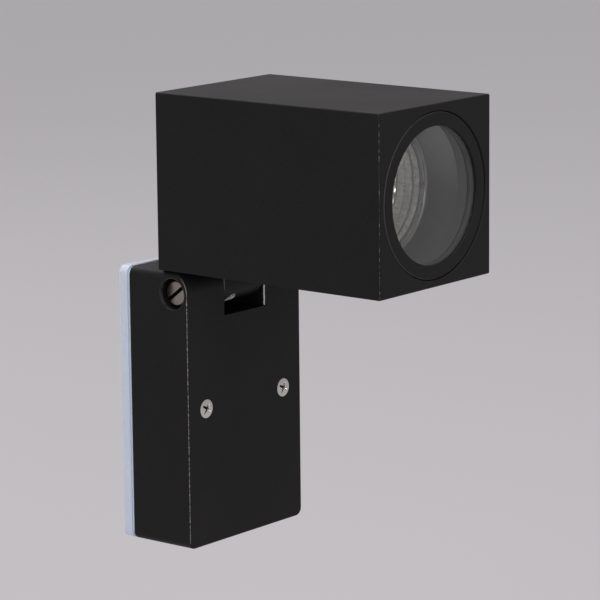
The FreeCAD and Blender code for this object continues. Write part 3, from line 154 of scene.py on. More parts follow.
class Finish:
    # a material under construction, with its object coordinates and its base colour so far
    def __init__(self, name, colour, roughness, metallic=0.0, **fixed):
        self.material = bpy.data.materials.new(name)
        self.material.use_nodes = True
        self.tree = self.material.node_tree
        self.shader = self.tree.nodes["Principled BSDF"]
        self.where = self.tree.nodes.new("ShaderNodeTexCoord").outputs["Object"]
        self.base = (*colour, 1)
        feedAll(self.tree, self.shader, Base_Color=self.base, Roughness=roughness,
                Metallic=metallic, **fixed)

    def put(self, group, **values):
        node = self.tree.nodes.new("ShaderNodeGroup")
        node.node_tree = group
        feedAll(self.tree, node, Coordinates=self.where, **values)
        return node.outputs

    def place(self):
        return splitNode(self.tree, self.where)

    def calc(self, operation, first, second=None):
        return mathNode(self.tree, operation, first, second)

    def rise(self, value, start, end, top=1.0):
        return rangeNode(self.tree, value, start, end, 0.0, top)

    def fall(self, value, start, end, top=1.0):
        return rangeNode(self.tree, value, start, end, top, 0.0)

    def tint(self, factor, colour):
        # lays a colour over what the base colour is so far
        self.base = mixColour(self.tree, factor, self.base, (*colour, 1))
        feed(self.tree, self.shader.inputs["Base Color"], self.base)

    def vary(self, label, factor, least, most):
        spread = rangeNode(self.tree, factor, 0.0, 1.0, least, most, smooth=False)
        feed(self.tree, self.shader.inputs[label], spread)

    def bump(self, height, depth):
        node = self.tree.nodes.new("ShaderNodeBump")
        feedAll(self.tree, node, Strength=1.0, Distance=depth, Height=height)
        feed(self.tree, self.shader.inputs["Normal"], node.outputs["Normal"])


cameraView = {"azimuth": -51.0628, "elevation": 11.0845, "roll": -0.5722,
              "place": (-0.890913, -0.778771, 0.264518), "lens": 192.36, "sensor": 36,
              "clip": (0.05, 20)}


def setCamera(view):
    a, e, r = (math.radians(view[k]) for k in ("azimuth", "elevation", "roll"))
    back = Vector((math.sin(a) * math.cos(e), -math.cos(a) * math.cos(e), math.sin(e)))
    right = Vector((math.cos(a), math.sin(a), 0))
    up = back.cross(right)
    across = right * math.cos(r) + up * math.sin(r)
    upright = up * math.cos(r) - right * math.sin(r)
    turn = Matrix((across, upright, back)).transposed()
    data = bpy.data.cameras.new("camera")
    data.lens = view["lens"]
    data.sensor_width = view["sensor"]
    data.clip_start, data.clip_end = view["clip"]
    camera = bpy.data.objects.new("camera", data)
    camera.matrix_world = Matrix.Translation(view["place"]) @ turn.to_4x4()
    scene.collection.objects.link(camera)
    scene.camera = camera


lampAim = Vector((0, -0.05, 0.03))
lamps = {
    # name: (place, size, watts, colour)
    "overheadSoftbox": ((-0.10, -0.25, 1.25), (1.0, 0.8), 10.6, (1.0, 0.985, 0.97)),
    "leftSoftbox": ((-1.35, -0.20, 0.75), (0.6, 0.9), 5.0, (0.97, 0.98, 1.0)),
    "frontSoftbox": ((-0.45, -1.35, 0.62), (0.5, 0.9), 3.2, (1.0, 0.98, 0.96)),
    "windowStrip": ((-1.05, -1.15, 0.30), (0.14, 0.55), 3.6, (1.0, 0.97, 0.92)),
    "rearSoftbox": ((0.3, 1.2, 0.9), (0.9, 0.7), 6.0, (1.0, 1.0, 1.0)),
}


def addLamps():
    for name, (place, size, power, colour) in lamps.items():
        data = bpy.data.lights.new(name, "AREA")
        data.shape = "RECTANGLE"
        data.size, data.size_y = size
        data.energy = power
        data.color = colour
        lamp = bpy.data.objects.new(name, data)
        lamp.location = place
        lamp.rotation_euler = (lampAim - Vector(place)).to_track_quat("-Z", "Y").to_euler()
        scene.collection.objects.link(lamp)


# floor and air show one tone to the camera and light the object with another
stage = {"floor": -0.16, "reach": 14.0, "colour": (0.62, 0.60, 0.625), "rough": 0.9,
         "shine": 0.2, "lift": 0.65, "seen": (0.50, 0.478, 0.50),
         "air": (0.46, 0.442, 0.462), "fill": (0.34, 0.34, 0.345)}


def straightRays(tree):
    # 1 for rays that come from the camera, a reflection or through glass
    rays = tree.nodes.new("ShaderNodeLightPath").outputs
    total = rays["Is Camera Ray"]
    for label in ("Is Glossy Ray", "Is Transmission Ray"):
        total = mathNode(tree, "MAXIMUM", total, rays[label])
    return total


def addFloor():
    mesh = bpy.data.meshes.new("floor")
    r, z = stage["reach"], stage["floor"]
    mesh.from_pydata([(-r, -r, z), (r, -r, z), (r, r, z), (-r, r, z)], [], [(0, 1, 2, 3)])
    floor = bpy.data.objects.new("floor", mesh)
    scene.collection.objects.link(floor)
    paint = Finish("paleFloor", stage["colour"], stage["rough"],
                   Specular_IOR_Level=stage["shine"])
    glow = paint.tree.nodes.new("ShaderNodeEmission")
    feedAll(paint.tree, glow, Color=(*stage["seen"], 1))
    lift = paint.calc("MULTIPLY", straightRays(paint.tree), stage["lift"])
    mixSurface(paint.tree, lift, paint.shader.outputs[0], glow.outputs[0])
    mesh.materials.append(paint.material)


def addAir():
    world = bpy.data.worlds.new("studio")
    scene.world = world
    world.use_nodes = True
    tree = world.node_tree
    tone = mixColour(tree, straightRays(tree), (*stage["fill"], 1), (*stage["air"], 1))
    feedAll(tree, tree.nodes["Background"], Color=tone, Strength=1.0)


setCamera(cameraView)
addLamps()
addFloor()
addAir()
scene.view_settings.view_transform = "Standard"
print("camera, lamps and stage set")


grainLook = {"cloudScale": 28.0, "cloudDetail": 3.0, "fineDetail": 2.0, "fineRough": 0.6,
             "fineShare": 0.5, "pits": -0.6, "dustScale": 0.55, "dust": (0.70, 0.78)}


def buildGrain():
    # fine uneven skin: low clouds, a grain of the given size in mm and rare pale specks
    look = grainLook
    group, given, leave = newGroup(
        "grainField",
        [("Coordinates", "NodeSocketVector", None), ("Grain", "NodeSocketFloat", 0.5),
         ("Clouds", "NodeSocketFloat", 0.5), ("Specks", "NodeSocketFloat", 0.0)],
        ("Tone", "Height", "Speck"))
    calc = calculator(group)
    where = given["Coordinates"]
    perMetre = calc("DIVIDE", 1000.0, given["Grain"])
    fine = noiseNode(group, where, perMetre, look["fineDetail"], look["fineRough"])
    cells = group.nodes.new("ShaderNodeTexVoronoi")
    cells.feature = "SMOOTH_F1"
    feedAll(group, cells, Vector=where, Scale=perMetre)
    clouds = noiseNode(group, where, look["cloudScale"], look["cloudDetail"])
    cloudy = calc("MULTIPLY", calc("SUBTRACT", clouds, 0.5), given["Clouds"])
    grainy = calc("MULTIPLY", calc("SUBTRACT", fine, 0.5), look["fineShare"])
    tone = calc("ADD", calc("ADD", cloudy, grainy), 0.5, clamp=True)
    height = calc("ADD", fine, calc("MULTIPLY", cells.outputs["Distance"], look["pits"]))
    dust = noiseNode(group, where, calc("MULTIPLY", perMetre, look["dustScale"]), 1.0)
    speck = calc("MULTIPLY", rangeNode(group, dust, *look["dust"]), given["Specks"])
    feedAll(group, leave, Tone=tone, Height=height, Speck=speck)
    return group


wearAndHighlightLook = {"scale": 900.0, "detail": 4.0, "rough": 0.7, "noise": (0.30, 0.70),
            "width": (0.7, 1.35), "edge": (0.05, 0.45)}


def buildArrisWear():
    # worn line along the front arris of a box, partly a painted highlight: up the side edges
    # and back over the top corner
    look = wearAndHighlightLook
    group, given, leave = newGroup(
        "arrisWear",
        [("Coordinates", "NodeSocketVector", None), ("Side", "NodeSocketFloat", 0.03),
         ("Front", "NodeSocketFloat", -0.03), ("Top", "NodeSocketFloat", 0.05),
         ("Corner", "NodeSocketFloat", 0.001), ("Width", "NodeSocketFloat", 0.0004),
         ("Fade", "NodeSocketFloat", 0.01), ("Bottom", "NodeSocketFloat", -1.0),
         ("Middle", "NodeSocketFloat", 0.0)],
        ("Wear",))
    calc = calculator(group)
    x, y, z = splitNode(group, given["Coordinates"])
    corner = given["Corner"]
    off = calc("ABSOLUTE", calc("SUBTRACT", x, given["Middle"]))
    fromSide = calc("ABSOLUTE", calc("SUBTRACT", given["Side"], off))
    # distance from the profile of the front and the rounded top corner
    centreY = calc("ADD", given["Front"], corner)
    centreZ = calc("SUBTRACT", given["Top"], corner)
    outY = calc("MAXIMUM", calc("SUBTRACT", centreY, y), 0.0)
    outZ = calc("MAXIMUM", calc("SUBTRACT", z, centreZ), 0.0)
    radial = calc("SQRT", calc("ADD", calc("MULTIPLY", outY, outY),
                               calc("MULTIPLY", outZ, outZ)))
    away = calc("MAXIMUM", fromSide, calc("SUBTRACT", corner, radial))
    ragged = noiseNode(group, given["Coordinates"], look["scale"], look["detail"],
                       look["rough"])
    reach = calc("MULTIPLY", given["Width"],
                 rangeNode(group, ragged, *look["noise"], *look["width"]))
    wornAndLit = calc("SUBTRACT", 1.0, calc("DIVIDE", away, reach), clamp=True)
    wornAndLit = rangeNode(group, wornAndLit, *look["edge"])
    kept = calc("DIVIDE", calc("SUBTRACT", given["Top"], z), given["Fade"], clamp=True)
    kept = calc("MULTIPLY", kept, calc("GREATER_THAN", z, given["Bottom"]))
    feedAll(group, leave, Wear=calc("MULTIPLY", wornAndLit, kept))
    return group


def buildTurnedRings():
    # fine lathe rings round a centre; Keep is 1 for each direction that counts as radius
    group, given, leave = newGroup(
        "turnedRings",
        [("Coordinates", "NodeSocketVector", None), ("Centre", "NodeSocketVector", (0, 0, 0)),
         ("Keep", "NodeSocketVector", (1, 0, 1)), ("Pitch", "NodeSocketFloat", 0.15)],
        ("Radius", "Rings"))
    calc = calculator(group)
    shift = vectorNode(group, "SUBTRACT", given["Coordinates"], given["Centre"])["Vector"]
    flat = vectorNode(group, "MULTIPLY", shift, given["Keep"])["Vector"]
    radius = vectorNode(group, "LENGTH", flat)["Value"]
    line = group.nodes.new("ShaderNodeTexNoise")
    line.noise_dimensions = "1D"
    feedAll(group, line, Scale=1.0, Detail=2.0,
            W=calc("DIVIDE", calc("MULTIPLY", radius, 1000.0), given["Pitch"]))
    feedAll(group, leave, Radius=radius, Rings=line.outputs["Fac"])
    return group


grainGroup = buildGrain()
wearAndHighlightGroup = buildArrisWear()
ringsGroup = buildTurnedRings()


# the bare metal and rubbed colours mark worn arrises and rims and are partly painted
# highlight
coat = {"colour": (0.0052, 0.0049, 0.0052), "pale": (0.0115, 0.0106, 0.0108),
        "speck": (0.10, 0.10, 0.105), "specks": 0.10, "rough": 0.50, "swing": (0.60, 0.40),
        "gloss": 0.15, "grain": 0.45, "clouds": 0.5, "depth": 0.00003,
        "bareMetalHighlight": (0.30, 0.29, 0.28), "rubbedHighlight": (0.78, 0.76, 0.73)}


def powderCoat(name):
    finish = Finish(name, coat["colour"], coat["rough"], Specular_IOR_Level=coat["gloss"])
    grain = finish.put(grainGroup, Grain=coat["grain"], Clouds=coat["clouds"],
                       Specks=coat["specks"])
    finish.tint(grain["Tone"], coat["pale"])
    finish.tint(grain["Speck"], coat["speck"])
    finish.vary("Roughness", grain["Tone"], *coat["swing"])
    finish.bump(grain["Height"], coat["depth"])
    return finish


def paintArrisWearAndHighlight(finish, colour, amount, **place):
    line = finish.put(wearAndHighlightGroup, **place)["Wear"]
    finish.tint(finish.calc("MULTIPLY", line, amount), colour)


rimLook = {"soft": 0.00012, "scale": 420.0, "detail": 2.0, "noise": (0.35, 0.6),
           "least": 0.35}


def paintRimWearAndHighlight(finish, colour, amount, centre, near, far):
    # a worn ring at the mouth of a hole, partly a painted highlight: what lies between two
    # distances from its centre
    look = rimLook
    radius = finish.put(ringsGroup, Centre=centre, Keep=(1, 1, 1))["Radius"]
    ring = finish.calc("MULTIPLY", finish.rise(radius, near - look["soft"], near),
                       finish.fall(radius, far, far + look["soft"]))
    patchy = noiseNode(finish.tree, finish.where, look["scale"], look["detail"])
    patches = rangeNode(finish.tree, patchy, *look["noise"], look["least"] * amount, amount)
    finish.tint(finish.calc("MULTIPLY", ring, patches), colour)


headWear = {"Corner": 0.0006, "Width": 0.00022, "Fade": 0.004}
headArrisStrength = 0.80
knuckle = {"radius": 0.0068, "half": 0.011, "holeNear": 0.0019, "holeFar": 0.0023,
           "below": 0.001, "wornAndLit": 0.5}
knuckleWear = {"Corner": 0.0, "Width": 0.00022, "Fade": 0.001}
# the bore's own casting colour, and the colour and height span of a painted light on its
# upper part
bore = {"radius": (0.0277, 0.0279), "back": (0.0022, 0.0016), "shade": (0.008, 0.020),
        "dark": (0.060, 0.060, 0.061), "light": (0.24, 0.24, 0.235)}


def makeHeadCoat():
    finish = powderCoat("headPowderCoat")
    # the head's front arrises: wear with painted highlight
    paintArrisWearAndHighlight(finish, coat["bareMetalHighlight"], headArrisStrength, Side=headHigh.x, Front=headFrontY,
              Top=headHigh.z, **headWear)
    # the tongue's own front arris, and the mouth of the set screw's hole: wear with painted
    # highlight
    paintArrisWearAndHighlight(finish, coat["bareMetalHighlight"], knuckle["wornAndLit"], Side=0.0, Middle=-knuckle["half"],
              Front=pivotY - knuckle["radius"], Top=baseHigh.z,
              Bottom=pivotZ - knuckle["below"], **knuckleWear)
    setScrew = (low("tilt_lock_screw") + high("tilt_lock_screw")) / 2
    outwards = Vector((0, setScrew.y - pivotY, setScrew.z - pivotZ)).normalized()
    mouth = Vector((setScrew.x, pivotY, pivotZ)) + outwards * knuckle["radius"]
    # painted highlight with rubbed metal: a pale ring at the hole's mouth, bright even in
    # shade
    paintRimWearAndHighlight(finish, coat["rubbedHighlight"], 1.0, mouth, knuckle["holeNear"], knuckle["holeFar"])
    # bare, oversprayed casting inside the bore, with painted light making it paler towards
    # its top
    radius = finish.put(ringsGroup, Centre=(0, 0, headAxisZ), Keep=(1, 0, 1))["Radius"]
    place = finish.place()
    rear = finish.fall(place["Y"], *(headHigh.y - step for step in bore["back"]))
    inside = finish.calc("MULTIPLY", finish.fall(radius, *bore["radius"]), rear)
    finish.tint(inside, bore["dark"])
    # painted light: the upper part of the bore is tinted paler, as if lit from above
    below, above = bore["shade"]
    paintedLitTop = finish.rise(place["Z"], headAxisZ - below, headAxisZ + above)
    finish.tint(finish.calc("MULTIPLY", inside, paintedLitTop), bore["light"])
    return finish.material


baseWear = {"Corner": 0.0075, "Width": 0.00032, "Fade": 0.010}
baseArrisStrength = 0.95
notch = {"half": 0.0115, "drop": 0.0184, "above": 0.0004}
notchWear = {"Corner": 0.0075, "Width": 0.0005, "Fade": 0.004}
counterbore = {"radius": 0.0058, "inside": 0.00002, "outside": 0.00010, "wornAndLit": 0.10}


def makeBaseCoat():
    finish = powderCoat("basePowderCoat")
    # the base's front arrises: wear with painted highlight
    paintArrisWearAndHighlight(finish, coat["bareMetalHighlight"], baseArrisStrength, Side=baseHigh.x, Front=baseLow.y,
              Top=baseHigh.z, **baseWear)
    # worn arrises of the hinge notch, and the rims of the two counterbores, partly painted
    # highlight
    # painted highlight with rubbed metal along the notch's arrises
    paintArrisWearAndHighlight(finish, coat["rubbedHighlight"], 1.0, Side=0.0, Middle=notch["half"], Front=baseLow.y,
              Top=baseHigh.z, Bottom=baseHigh.z - notch["drop"] + notch["above"],
              **notchWear)
    near = counterbore["radius"] - counterbore["inside"]
    far = counterbore["radius"] + counterbore["outside"]
    for side in (baseLow.x, baseHigh.x):
        paintRimWearAndHighlight(finish, coat["bareMetalHighlight"], counterbore["wornAndLit"], (side, pivotY, pivotZ),
                near, far)
    return finish.material


# distances in from the ring's outside and back from its front
ringWear = {"edge": (0.00035, 0.0001), "front": (0.0004, 0.0007), "wornAndLit": 0.20}
ringBack = {"inside": (0.0024, 0.0022), "behind": (0.0010, 0.0014),
            "colour": (0.050, 0.050, 0.052)}


def makeRingCoat():
    finish = powderCoat("ringPowderCoat")
    radius = finish.put(ringsGroup, Centre=(0, 0, headAxisZ), Keep=(1, 0, 1))["Radius"]
    depth = finish.place()["Y"]
    # the ring's front arris: wear with painted highlight
    edge = finish.rise(radius, *(ringHigh.x - step for step in ringWear["edge"]))
    front = finish.fall(depth, *(ringLow.y + step for step in ringWear["front"]),
                        ringWear["wornAndLit"])
    finish.tint(finish.calc("MULTIPLY", edge, front), coat["bareMetalHighlight"])
    # the ring is bare behind its window
    behind = finish.rise(depth, *(ringLow.y + step for step in ringBack["behind"]))
    inside = finish.fall(radius, *(ringHigh.x - step for step in ringBack["inside"]))
    finish.tint(finish.calc("MULTIPLY", behind, inside), ringBack["colour"])
    return finish.material


def paler(colour, gain, lift=0.0):
    return tuple(min(1.0, part * gain + lift) for part in colour)


# a steel head; its half towards the wall and its slot get painted shade
pivotSteel = {"colour": (0.30, 0.265, 0.24), "gain": 1.4, "share": 0.5, "rough": 0.42,
              "smoother": 0.08, "rougher": 0.16, "pitch": 0.22, "grain": 0.9,
              "clouds": 0.8, "depth": 0.00003, "paintedShadeScale": 500.0, "paintedShadeDetail": 2.0,
              "wander": 0.002, "paintedShade": (0.0012, 0.0042),
              "paintedShadeColour": (0.050, 0.036, 0.030), "slot": (0.0004, 0.0002),
              "paintedRecessShade": (0.012, 0.010, 0.009)}


def makePivotSteel():
    # a turned head with painted shade in its slot and over its half towards the wall
    look = pivotSteel
    finish = Finish("pivotScrewSteel", look["colour"], look["rough"], 1.0)
    rings = finish.put(ringsGroup, Centre=(0, pivotY, pivotZ), Keep=(0, 1, 1),
                       Pitch=look["pitch"])["Rings"]
    tone = finish.put(grainGroup, Grain=look["grain"], Clouds=look["clouds"])["Tone"]
    finish.tint(finish.calc("MULTIPLY", tone, look["share"]),
                paler(look["colour"], look["gain"]))
    finish.vary("Roughness", rings, look["rough"] - look["smoother"],
                look["rough"] + look["rougher"])
    finish.bump(rings, look["depth"])
    place = finish.place()
    # painted shade: the face darkens towards the wall along a ragged edge
    paintedShade = noiseNode(finish.tree, finish.where, look["paintedShadeScale"], look["paintedShadeDetail"])
    ragged = finish.calc("ADD", place["Y"], finish.calc("MULTIPLY", paintedShade, look["wander"]))
    finish.tint(finish.rise(ragged, *(pivotY + step for step in look["paintedShade"])),
                look["paintedShadeColour"])
    # painted shade deep in the slot
    sunk = finish.fall(finish.calc("ABSOLUTE", place["X"]),
                       *(pivotHigh.x - step for step in look["slot"]))
    finish.tint(sunk, look["paintedRecessShade"])
    return finish.material


stainless = {"colour": (0.54, 0.53, 0.51), "pale": (0.78, 0.76, 0.73), "rough": 0.26,
             "grain": 0.5, "depth": 0.00002}
# the crossed recess is darkened by a painted shade below the given depth
recess = {"clouds": 0.6, "depth": (0.0002, 0.0011), "paintedRecessShade": (0.030, 0.027, 0.024)}


def makeCoverSteel():
    # heads of the two cover screws: rubbed face, painted shade in the crossed recess
    finish = Finish("coverScrewSteel", stainless["colour"], stainless["rough"], 1.0)
    field = finish.put(grainGroup, Grain=stainless["grain"], Clouds=recess["clouds"])
    finish.tint(field["Tone"], stainless["pale"])
    # painted shade in the crossed recess, deeper than its given depth
    face = low("cover_screws").y
    sunk = finish.rise(finish.place()["Y"], *(face + step for step in recess["depth"]))
    finish.tint(sunk, recess["paintedRecessShade"])
    finish.bump(field["Height"], stainless["depth"])
    return finish.material


plainSwing = 0.08


def makePlain(name, colour, pale, rough, grain, depth, metallic=0.0, clouds=0.6, **fixed):
    # clouded between two colours, a little smoother where it is paler
    finish = Finish(name, colour, rough, metallic, **fixed)
    field = finish.put(grainGroup, Grain=grain, Clouds=clouds)
    finish.tint(field["Tone"], pale)
    finish.vary("Roughness", field["Tone"], rough + plainSwing, rough - plainSwing)
    finish.bump(field["Height"], depth)
    return finish.material


def makeGlass(name, tint, rough=0.0):
    # clear glass that lets the light through to what lies behind it
    finish = Finish(name, tint, rough, Transmission_Weight=1.0, IOR=1.45)
    clear = finish.tree.nodes.new("ShaderNodeBsdfTransparent")
    feedAll(finish.tree, clear, Color=(*tint, 1))
    rays = finish.tree.nodes.new("ShaderNodeLightPath").outputs
    shade = finish.calc("MAXIMUM", rays["Is Shadow Ray"], rays["Is Diffuse Ray"])
    mixSurface(finish.tree, shade, finish.shader.outputs[0], clear.outputs[0])
    return finish.material


lead = {"rough": 0.4, "grain": 1.2, "clouds": 0.7, "share": 0.4, "gain": 1.5, "lift": 0.01,
        "stripes": 120.0, "stripeEdge": (0.45, 0.55), "depth": 0.00002}


def makeLead(name, colour, stripe=None):
    finish = Finish(name, colour, lead["rough"])
    field = finish.put(grainGroup, Grain=lead["grain"], Clouds=lead["clouds"])
    finish.tint(finish.calc("MULTIPLY", field["Tone"], lead["share"]),
                paler(colour, lead["gain"], lead["lift"]))
    if stripe is not None:
        wave = finish.tree.nodes.new("ShaderNodeTexWave")
        feedAll(finish.tree, wave, Scale=lead["stripes"], Vector=finish.where)
        finish.tint(finish.rise(wave.outputs["Fac"], *lead["stripeEdge"]), stripe)
    finish.bump(field["Height"], lead["depth"])
    return finish.material


plainLooks = {
    # key: (material, colour, pale colour, roughness, grain in mm, depth of bump, the rest)
    "zinc": ("zincPlate", (0.48, 0.50, 0.53), (0.66, 0.67, 0.69), 0.36, 2.5, 0.00002,
             {"metallic": 1.0, "clouds": 1.2}),
    "brass": ("brass", (0.62, 0.46, 0.20), (0.78, 0.62, 0.33), 0.34, 0.8, 0.00002,
              {"metallic": 1.0}),
    "silicone": ("siliconeSeal", (0.47, 0.545, 0.66), (0.59, 0.65, 0.74), 0.42, 1.6,
                 0.00004, {"Subsurface_Weight": 0.35, "Subsurface_Scale": 0.004}),
    "rubber": ("blackRubber", (0.014, 0.014, 0.014), (0.03, 0.03, 0.03), 0.7, 0.7,
               0.00005, {}),
    "polyamide": ("polyamide", (0.74, 0.73, 0.68), (0.84, 0.83, 0.79), 0.42, 1.1,
                  0.00003, {}),
    "ceramic": ("steatite", (0.68, 0.64, 0.54), (0.80, 0.77, 0.69), 0.62, 0.6,
                0.00005, {}),
    "nickel": ("nickel", (0.55, 0.54, 0.52), (0.70, 0.69, 0.67), 0.28, 0.8, 0.00001,
               {"metallic": 1.0}),
    "mirror": ("reflectorCoat", (0.74, 0.74, 0.72), (0.88, 0.88, 0.85), 0.26, 1.8,
               0.00002, {"metallic": 0.75}),
    # darker, paler and warm copies of the reflector's coat: painted shade, painted highlight
    # and painted warm reflection
    "paintedShadeMirror": ("paintedShadeMirror", (0.34, 0.34, 0.335), (0.44, 0.44, 0.43), 0.34, 1.8,
                   0.00002, {"metallic": 0.8}),
    "paintedHighlightMirror": ("paintedHighlightMirror", (0.93, 0.95, 0.93), (1.0, 1.0, 0.98), 0.20, 1.2,
                     0.00002, {"metallic": 0.7}),
    "paintedWarmReflectionMirror": ("paintedWarmReflectionMirror", (0.93, 0.90, 0.80), (1.0, 0.97, 0.88), 0.22, 1.2,
                   0.00002, {"metallic": 0.7}),
    "rimGlass": ("rimGlass", (0.085, 0.088, 0.086), (0.13, 0.133, 0.13), 0.14, 2.0,
                 0.00001, {"Coat_Weight": 1.0, "Coat_Roughness": 0.06}),
    "greySeal": ("greySeal", (0.042, 0.042, 0.044), (0.060, 0.060, 0.062), 0.5, 0.8,
                 0.00003, {}),
    "bareCasting": ("bareCasting", (0.042, 0.042, 0.044), (0.060, 0.060, 0.062), 0.5, 0.6,
                    0.00003, {}),
}

finishes = {key: makePlain(*look[:-1], **look[-1]) for key, look in plainLooks.items()}
finishes.update({
    "headCoat": makeHeadCoat(),
    "baseCoat": makeBaseCoat(),
    "ringCoat": makeRingCoat(),
    "pivotSteel": makePivotSteel(),
    "coverSteel": makeCoverSteel(),
    "screwSteel": makePlain("screwSteel", **stainless, metallic=1.0),
    "lensGlass": makeGlass("lensGlass", (0.985, 0.99, 0.985)),
    "quartz": makeGlass("quartz", (0.96, 0.96, 0.95), 0.05),
    "brownLead": makeLead("brownLead", (0.10, 0.035, 0.015)),
    "blueLead": makeLead("blueLead", (0.015, 0.08, 0.32)),
    "earthLead": makeLead("earthLead", (0.07, 0.28, 0.03), (0.72, 0.62, 0.05)),
})

finishOf = {
    "headCoat": ["head_housing"],
    "baseCoat": ["base_housing"],
    "ringCoat": ["front_ring"],
    "pivotSteel": ["pivot_screws"],
    "screwSteel": ["cover_screws", "tilt_lock_screw", "pivot_spring_washers",
                   "friction_washers", "terminal_screws", "terminal_block_screw",
                   "earth_screw", "holder_screws", "strap_screws"],
    "bareCasting": ["glass_retainer"],
    "greySeal": ["lens_gasket"],
    "zinc": ["mounting_bracket", "holder_strap"],
    "brass": ["terminal_sleeves", "holder_contacts"],
    "silicone": ["wall_gasket"],
    "rubber": ["cable_grommet", "lead_grommet", "ring_seal"],
    "polyamide": ["terminal_block", "channel_sleeve"],
    "ceramic": ["lampholder", "lamp_base"],
    "nickel": ["lamp_pins", "earth_tag", "head_earth_tag"],
    "lensGlass": ["lens_glass", "lamp_front_glass"],
    "quartz": ["lamp_burner"],
    "mirror": ["lamp_reflector"],
    "brownLead": ["base_lead_live", "head_lead_live"],
    "blueLead": ["base_lead_neutral", "head_lead_neutral"],
    "earthLead": ["base_lead_earth", "head_lead_earth", "earth_link"],
}

for finishName, members in finishOf.items():
    for member in members:
        slots = nodes[member].material_slots
        if not slots:
            nodes[member].data.materials.append(finishes[finishName])
        for slot in slots:
            slot.material = finishes[finishName]
print("finishes laid on", sum(len(members) for members in finishOf.values()), "pieces")


# pieces made here
def newPiece(name, mesh, finishName, body):
    piece = bpy.data.objects.new(name, mesh)
    scene.collection.objects.link(piece)
    mesh.materials.clear()
    mesh.materials.append(finishes[finishName])
    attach(piece, body)
    return piece


def meshOf(bm, name, sharp=None):
    # given an angle, the normals are set right and only edges over that angle stay sharp
    if sharp is not None:
        bmesh.ops.recalc_face_normals(bm, faces=bm.faces)
    mesh = bpy.data.meshes.new(name)
    bm.to_mesh(mesh)
    bm.free()
    if sharp is not None:
        mesh.shade_smooth()
        mesh.set_sharp_from_angle(angle=math.radians(sharp))
    return mesh


def arcBetween(start, end, radius, steps):
    # points of an arc from start to end, bulging away from the axis
    start, end = Vector(start), Vector(end)
    middle, chord = (start + end) / 2, end - start
    across = Vector((chord.y, -chord.x)).normalized()
    centre = middle - across * math.sqrt(radius ** 2 - (chord.length / 2) ** 2)
    first = start - centre
    turn = first.angle_signed(end - centre)
    points = []
    for step in range(steps + 1):
        a = -turn * step / steps
        points.append(centre + Vector((first.x * math.cos(a) - first.y * math.sin(a),
                                       first.x * math.sin(a) + first.y * math.cos(a))))
    return points


def turnedMesh(name, profile, origin, steps, sharp=40):
    # turns a closed profile of (radius, distance behind the origin) about the lamp's axis
    bm = bmesh.new()
    loops = []
    for step in range(steps):
        a = 2 * math.pi * step / steps
        loops.append([bm.verts.new((origin.x + r * mm * math.cos(a), origin.y + d * mm,
                                    origin.z + r * mm * math.sin(a))) for r, d in profile])
    for here, there in zip(loops, loops[1:] + loops[:1]):
        for number in range(len(profile)):
            following = (number + 1) % len(profile)
            bm.faces.new((here[number], here[following], there[following], there[number]))
    return meshOf(bm, name, sharp)


reflector = {"rim": 25.0, "straight": 3.0, "curve": 30.0, "depth": 32.0, "neck": 12.0,
             "wall": 2.0, "round": 160, "outerSteps": 24, "innerSteps": 28, "rimSteps": 14}
lampPlace = Vector((0, low("lamp_reflector").y, headAxisZ))


def innerWall(steps):
    r = reflector
    return arcBetween((r["rim"] - r["wall"], r["straight"]),
                      (r["neck"] - r["wall"], r["depth"] - 2 * r["wall"]),
                      r["curve"] - r["wall"], steps)


def makeReflectorShell():
    r = reflector
    outer = arcBetween((r["rim"], r["straight"]), (r["neck"], r["depth"]), r["curve"],
                       r["outerSteps"])
    profile = [tuple(p) for p in reversed(outer)]
    profile += [tuple(p) for p in innerWall(r["innerSteps"])]
    profile += [(r["neck"] - r["wall"], r["depth"])]
    return turnedMesh("reflectorShell", profile, lampPlace, r["round"])


def makeReflectorRim():
    # the thick, rounded front edge of the pressed glass
    r = reflector
    middle = r["rim"] - r["wall"] / 2
    profile = [(r["rim"], r["straight"])]
    for step in range(r["rimSteps"] + 1):
        a = math.pi * step / r["rimSteps"]
        profile.append((middle + (r["wall"] / 2) * math.cos(a),
                        r["wall"] / 2 * (1.0 - math.sin(a))))
    profile.append((r["rim"] - r["wall"], r["straight"]))
    return turnedMesh("reflectorRim", profile, lampPlace, r["round"])


facet = {"inset": 0.16, "wide": 0.97, "long": 0.95, "corners": 6, "wallSteps": 60,
         # count of facets, from and to how deep, bulge, finish
         "rows": ((44, 3.5, 6.6, 0.55, "paintedHighlightMirror"), (60, 6.8, 9.8, 0.06, "mirror"),
                  (60, 9.9, 12.9, 0.06, "mirror"), (34, 13.3, 16.4, 0.35, "paintedWarmReflectionMirror"),
                  (30, 16.6, 19.8, 0.35, "paintedWarmReflectionMirror"), (26, 20.0, 23.6, 0.35, "mirror"))}


